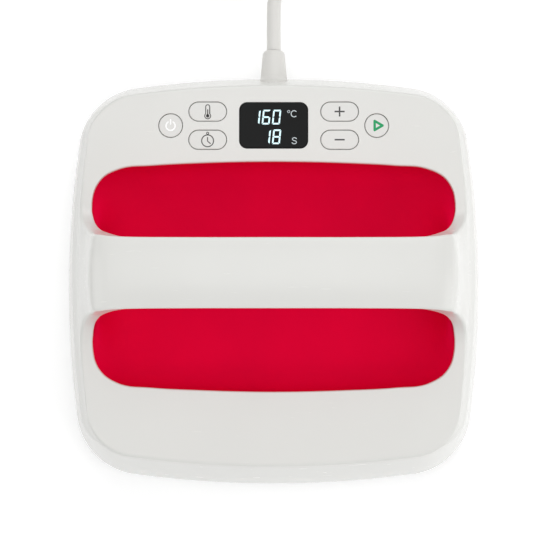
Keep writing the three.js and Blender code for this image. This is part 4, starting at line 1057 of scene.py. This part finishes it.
def arc(cx, cy, r, a0, a1, n=28):
    return [[cx + r * cos(radians(a0 + (a1 - a0) * i / n)), cy + r * sin(radians(a0 + (a1 - a0) * i / n))] for i in range(n + 1)]


def mark(name, kit, material, body):
    ob = make(name, kit, material, sharp=30, weighted=False)
    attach(ob, body)
    return ob


Z0, Z1 = 63.985, 64.03
KC = {k[0]: (k[1], k[2]) for k in KEYS}
# power: broken ring with a bar
x, y = KC["power"]
k1 = Kit()
ribbon(k1, arc(x, y - 0.2, 2.85, 122, 418), 0.74, Z0, Z1)
ribbon(k1, [[x, y + 0.9], [x, y + 3.7]], 0.74, Z0, Z1)
mark("mark_power", k1, WHITE_LIGHT, "power_key")
# thermometer: tube and bulb outline, filled column
x, y = KC["temperature"]
k2 = Kit()
a0 = 48
outl = arc(x, y + 3.0, 1.25, 0, 180, 12) + arc(x, y - 2.75, 1.85, 180 - a0, 360 + a0, 22)
ribbon(k2, outl, 0.56, Z0, Z1, closed=True)
ribbon(k2, [[x, y - 2.7], [x, y + 1.1]], 0.66, Z0, Z1)
solid(k2, arc(x, y - 2.75, 1.1, 0, 345, 23), Z0, Z1)
mark("mark_temperature", k2, INK, "temperature_key")
# stopwatch: ring, crown, hands
x, y = KC["timer"]
k3 = Kit()
ribbon(k3, arc(x, y - 0.7, 3.7, 0, 352.5, 47), 0.62, Z0, Z1, closed=True)
ribbon(k3, arc(x, y + 4.05, 0.68, 0, 337.5, 15), 0.5, Z0, Z1, closed=True)
ribbon(k3, [[x - 0.05, y + 1.4], [x - 0.05, y - 0.9], [x + 1.75, y - 2.45]], 0.56, Z0, Z1)
mark("mark_timer", k3, INK, "timer_key")
x, y = KC["plus"]
k4 = Kit()
P, H = 3.12, 0.47
solid(k4, [[x - P, y - H], [x - H, y - H], [x - H, y - P], [x + H, y - P], [x + H, y - H], [x + P, y - H],
           [x + P, y + H], [x + H, y + H], [x + H, y + P], [x - H, y + P], [x - H, y + H], [x - P, y + H]], Z0, Z1)
mark("mark_plus", k4, INK, "plus_key")
x, y = KC["minus"]
k5 = Kit()
solid(k5, [[x - P, y - H], [x + P, y - H], [x + P, y + H], [x - P, y + H]], Z0, Z1)
mark("mark_minus", k5, INK, "minus_key")
# start: plain triangle
x, y = KC["start"]
k6 = Kit()
tri = []
for i in range(3):
    a = radians(120 * i)
    vx, vy = x + 0.35 + 3.3 * cos(a), y + 3.3 * sin(a)
    for j in range(-4, 5):
        b = a + radians(15 * j)
        tri.append([vx + 0.75 * cos(b), vy + 0.75 * sin(b)])
hole = [[x + 0.35 + 1.75 * cos(radians(120 * i)), y + 1.75 * sin(radians(120 * i))] for i in range(3)]
solid(k6, tri, Z0, Z1, holes=[hole])
mark("mark_start", k6, GREEN, "start_key")

# lit digits under the window's surface, drawn as seven bars each with a slight slant
SEGMENTS = {"0": "abcdef", "1": "bc", "6": "acdefg", "8": "abcdefg"}
ZD0, ZD1 = 63.885, 63.925


def digit(kit, ch, x, y, w=4.95, h=9.2, t=0.98, slant=0.10, gap=0.11):
    """seven mitred bars; a bar's long side lies on the digit's outline"""
    m, g, k = h / 2, gap, 0.28
    bars = {
        "a": [[k + g, h], [w - k - g, h], [w - g - 0.5 * k, h - 0.5 * k], [w - t - g, h - t], [t + g, h - t], [g + 0.5 * k, h - 0.5 * k]],
        "d": [[k + g, 0], [t + g, t], [w - t - g, t], [w - k - g, 0]],
        "g": [[t / 2 + g, m], [t + g, m - t / 2], [w - t - g, m - t / 2], [w - t / 2 - g, m], [w - t - g, m + t / 2], [t + g, m + t / 2]],
        "f": [[0, h - k - g], [0, m + g], [t / 2, m + g + 0.1], [t, m + t / 2 + g], [t, h - t - g]],
        "e": [[0, k + g], [t, t + g], [t, m - t / 2 - g], [t / 2, m - g - 0.1], [0, m - g]],
        "b": [[w, h - k - g], [w - t, h - t - g], [w - t, m + t / 2 + g], [w - t / 2, m + g + 0.1], [w, m + g]],
        "c": [[w, k + g], [w, m - g], [w - t / 2, m - g - 0.1], [w - t, m - t / 2 - g], [w - t, t + g]]}
    for c in SEGMENTS[ch]:
        q = [[x + p[0] + slant * (p[1] - m), y + p[1]] for p in bars[c]]
        if sum(q[i - 1][0] * q[i][1] - q[i][0] * q[i - 1][1] for i in range(len(q))) < 0:
            q = q[::-1]
        solid(kit, q, ZD0, ZD1)


kd = Kit()
digit(kd, "1", -13.40, 94.75)
digit(kd, "6", -7.03, 94.75)
digit(kd, "0", -0.66, 94.75)
digit(kd, "1", -7.03, 82.4)
digit(kd, "8", -0.66, 82.4)
mark("display_digits", kd, DIGIT, "press")
ku = Kit()
ribbon(ku, arc(9.35, 102.85, 0.72, 0, 340, 17), 0.28, ZD0, ZD1, closed=True)
ribbon(ku, [[12.75 + 1.85 * cos(radians(a)), 101.45 + 1.95 * sin(radians(a))] for a in range(46, 315, 8)], 0.46, ZD0, ZD1)
S = [[14.5, 85.75], [14.0, 86.25], [13.15, 86.45], [12.3, 86.2], [11.9, 85.6], [12.25, 84.95], [13.1, 84.6], [14.0, 84.25], [14.45, 83.6], [14.05, 82.9], [13.15, 82.6], [12.2, 82.8], [11.7, 83.4]]
ss = spline(S)
ribbon(ku, [[ss(i / 3)[0] - 0.25, ss(i / 3)[1]] for i in range(3 * (len(S) - 1) + 1)], 0.44, ZD0, ZD1)
mark("display_units", ku, UNIT, "press")

# ------------------------------------------------------------------ stage and light
WORLD_FILL, FLOOR_GLOW = 0.324, 0.31
AIM_AT = (0, 0, 0.03)
LIGHTS = [("right_low", (1.6, -0.1, 0.5), AIM_AT, 1.0, 4.03), ("right_front", (1.2, -0.6, 1.2), AIM_AT, 1.2, 6.41),
          ("front", (0.0, -1.3, 1.3), AIM_AT, 1.3, 2.63), ("above", (0.0, 0.2, 1.8), AIM_AT, 1.0, 4.38),
          ("behind", (0.1, 1.3, 1.3), AIM_AT, 1.2, 9.27), ("left", (-1.3, -0.2, 1.2), AIM_AT, 1.2, 4.97),
          ("front_low", (0.0, -1.7, 0.4), AIM_AT, 0.8, 1.0), ("behind_low", (0.1, 1.7, 0.4), AIM_AT, 0.8, 0.4)]
fm = bpy.data.meshes.new("floor")
fm.from_pydata([(-6, -6, -0.0004), (6, -6, -0.0004), (6, 6, -0.0004), (-6, 6, -0.0004)], [], [(0, 1, 2, 3)])
floor = bpy.data.objects.new("floor", fm)
scene.collection.objects.link(floor)
m, nt, bs, vec = principled("floor_pale")
nt.links.new(mix_color(nt, noise(nt, vec, 300, 2), (0.86, 0.86, 0.86), (0.90, 0.90, 0.90)), bs.inputs["Base Color"])
bs.inputs["Roughness"].default_value = 0.9
bs.inputs["Specular IOR Level"].default_value = 0.1
bs.inputs["Emission Color"].default_value = (1, 1, 1, 1)
bs.inputs["Emission Strength"].default_value = FLOOR_GLOW
fm.materials.append(m)

world = bpy.data.worlds.new("studio")
world.use_nodes = True
world.node_tree.nodes["Background"].inputs["Color"].default_value = (1.0, 1.0, 1.0, 1)
world.node_tree.nodes["Background"].inputs["Strength"].default_value = WORLD_FILL
scene.world = world


def area(name, loc, aim, size, power, size_y=None):
    d = bpy.data.lights.new(name, "AREA")
    d.shape = "RECTANGLE"
    d.size, d.size_y, d.energy = size, size_y or size, power
    o = bpy.data.objects.new(name, d)
    o.location = loc
    o.rotation_euler = (Vector(aim) - Vector(loc)).to_track_quat("-Z", "Y").to_euler()
    scene.collection.objects.link(o)
    return o


for lamp in LIGHTS:
    area(*lamp)
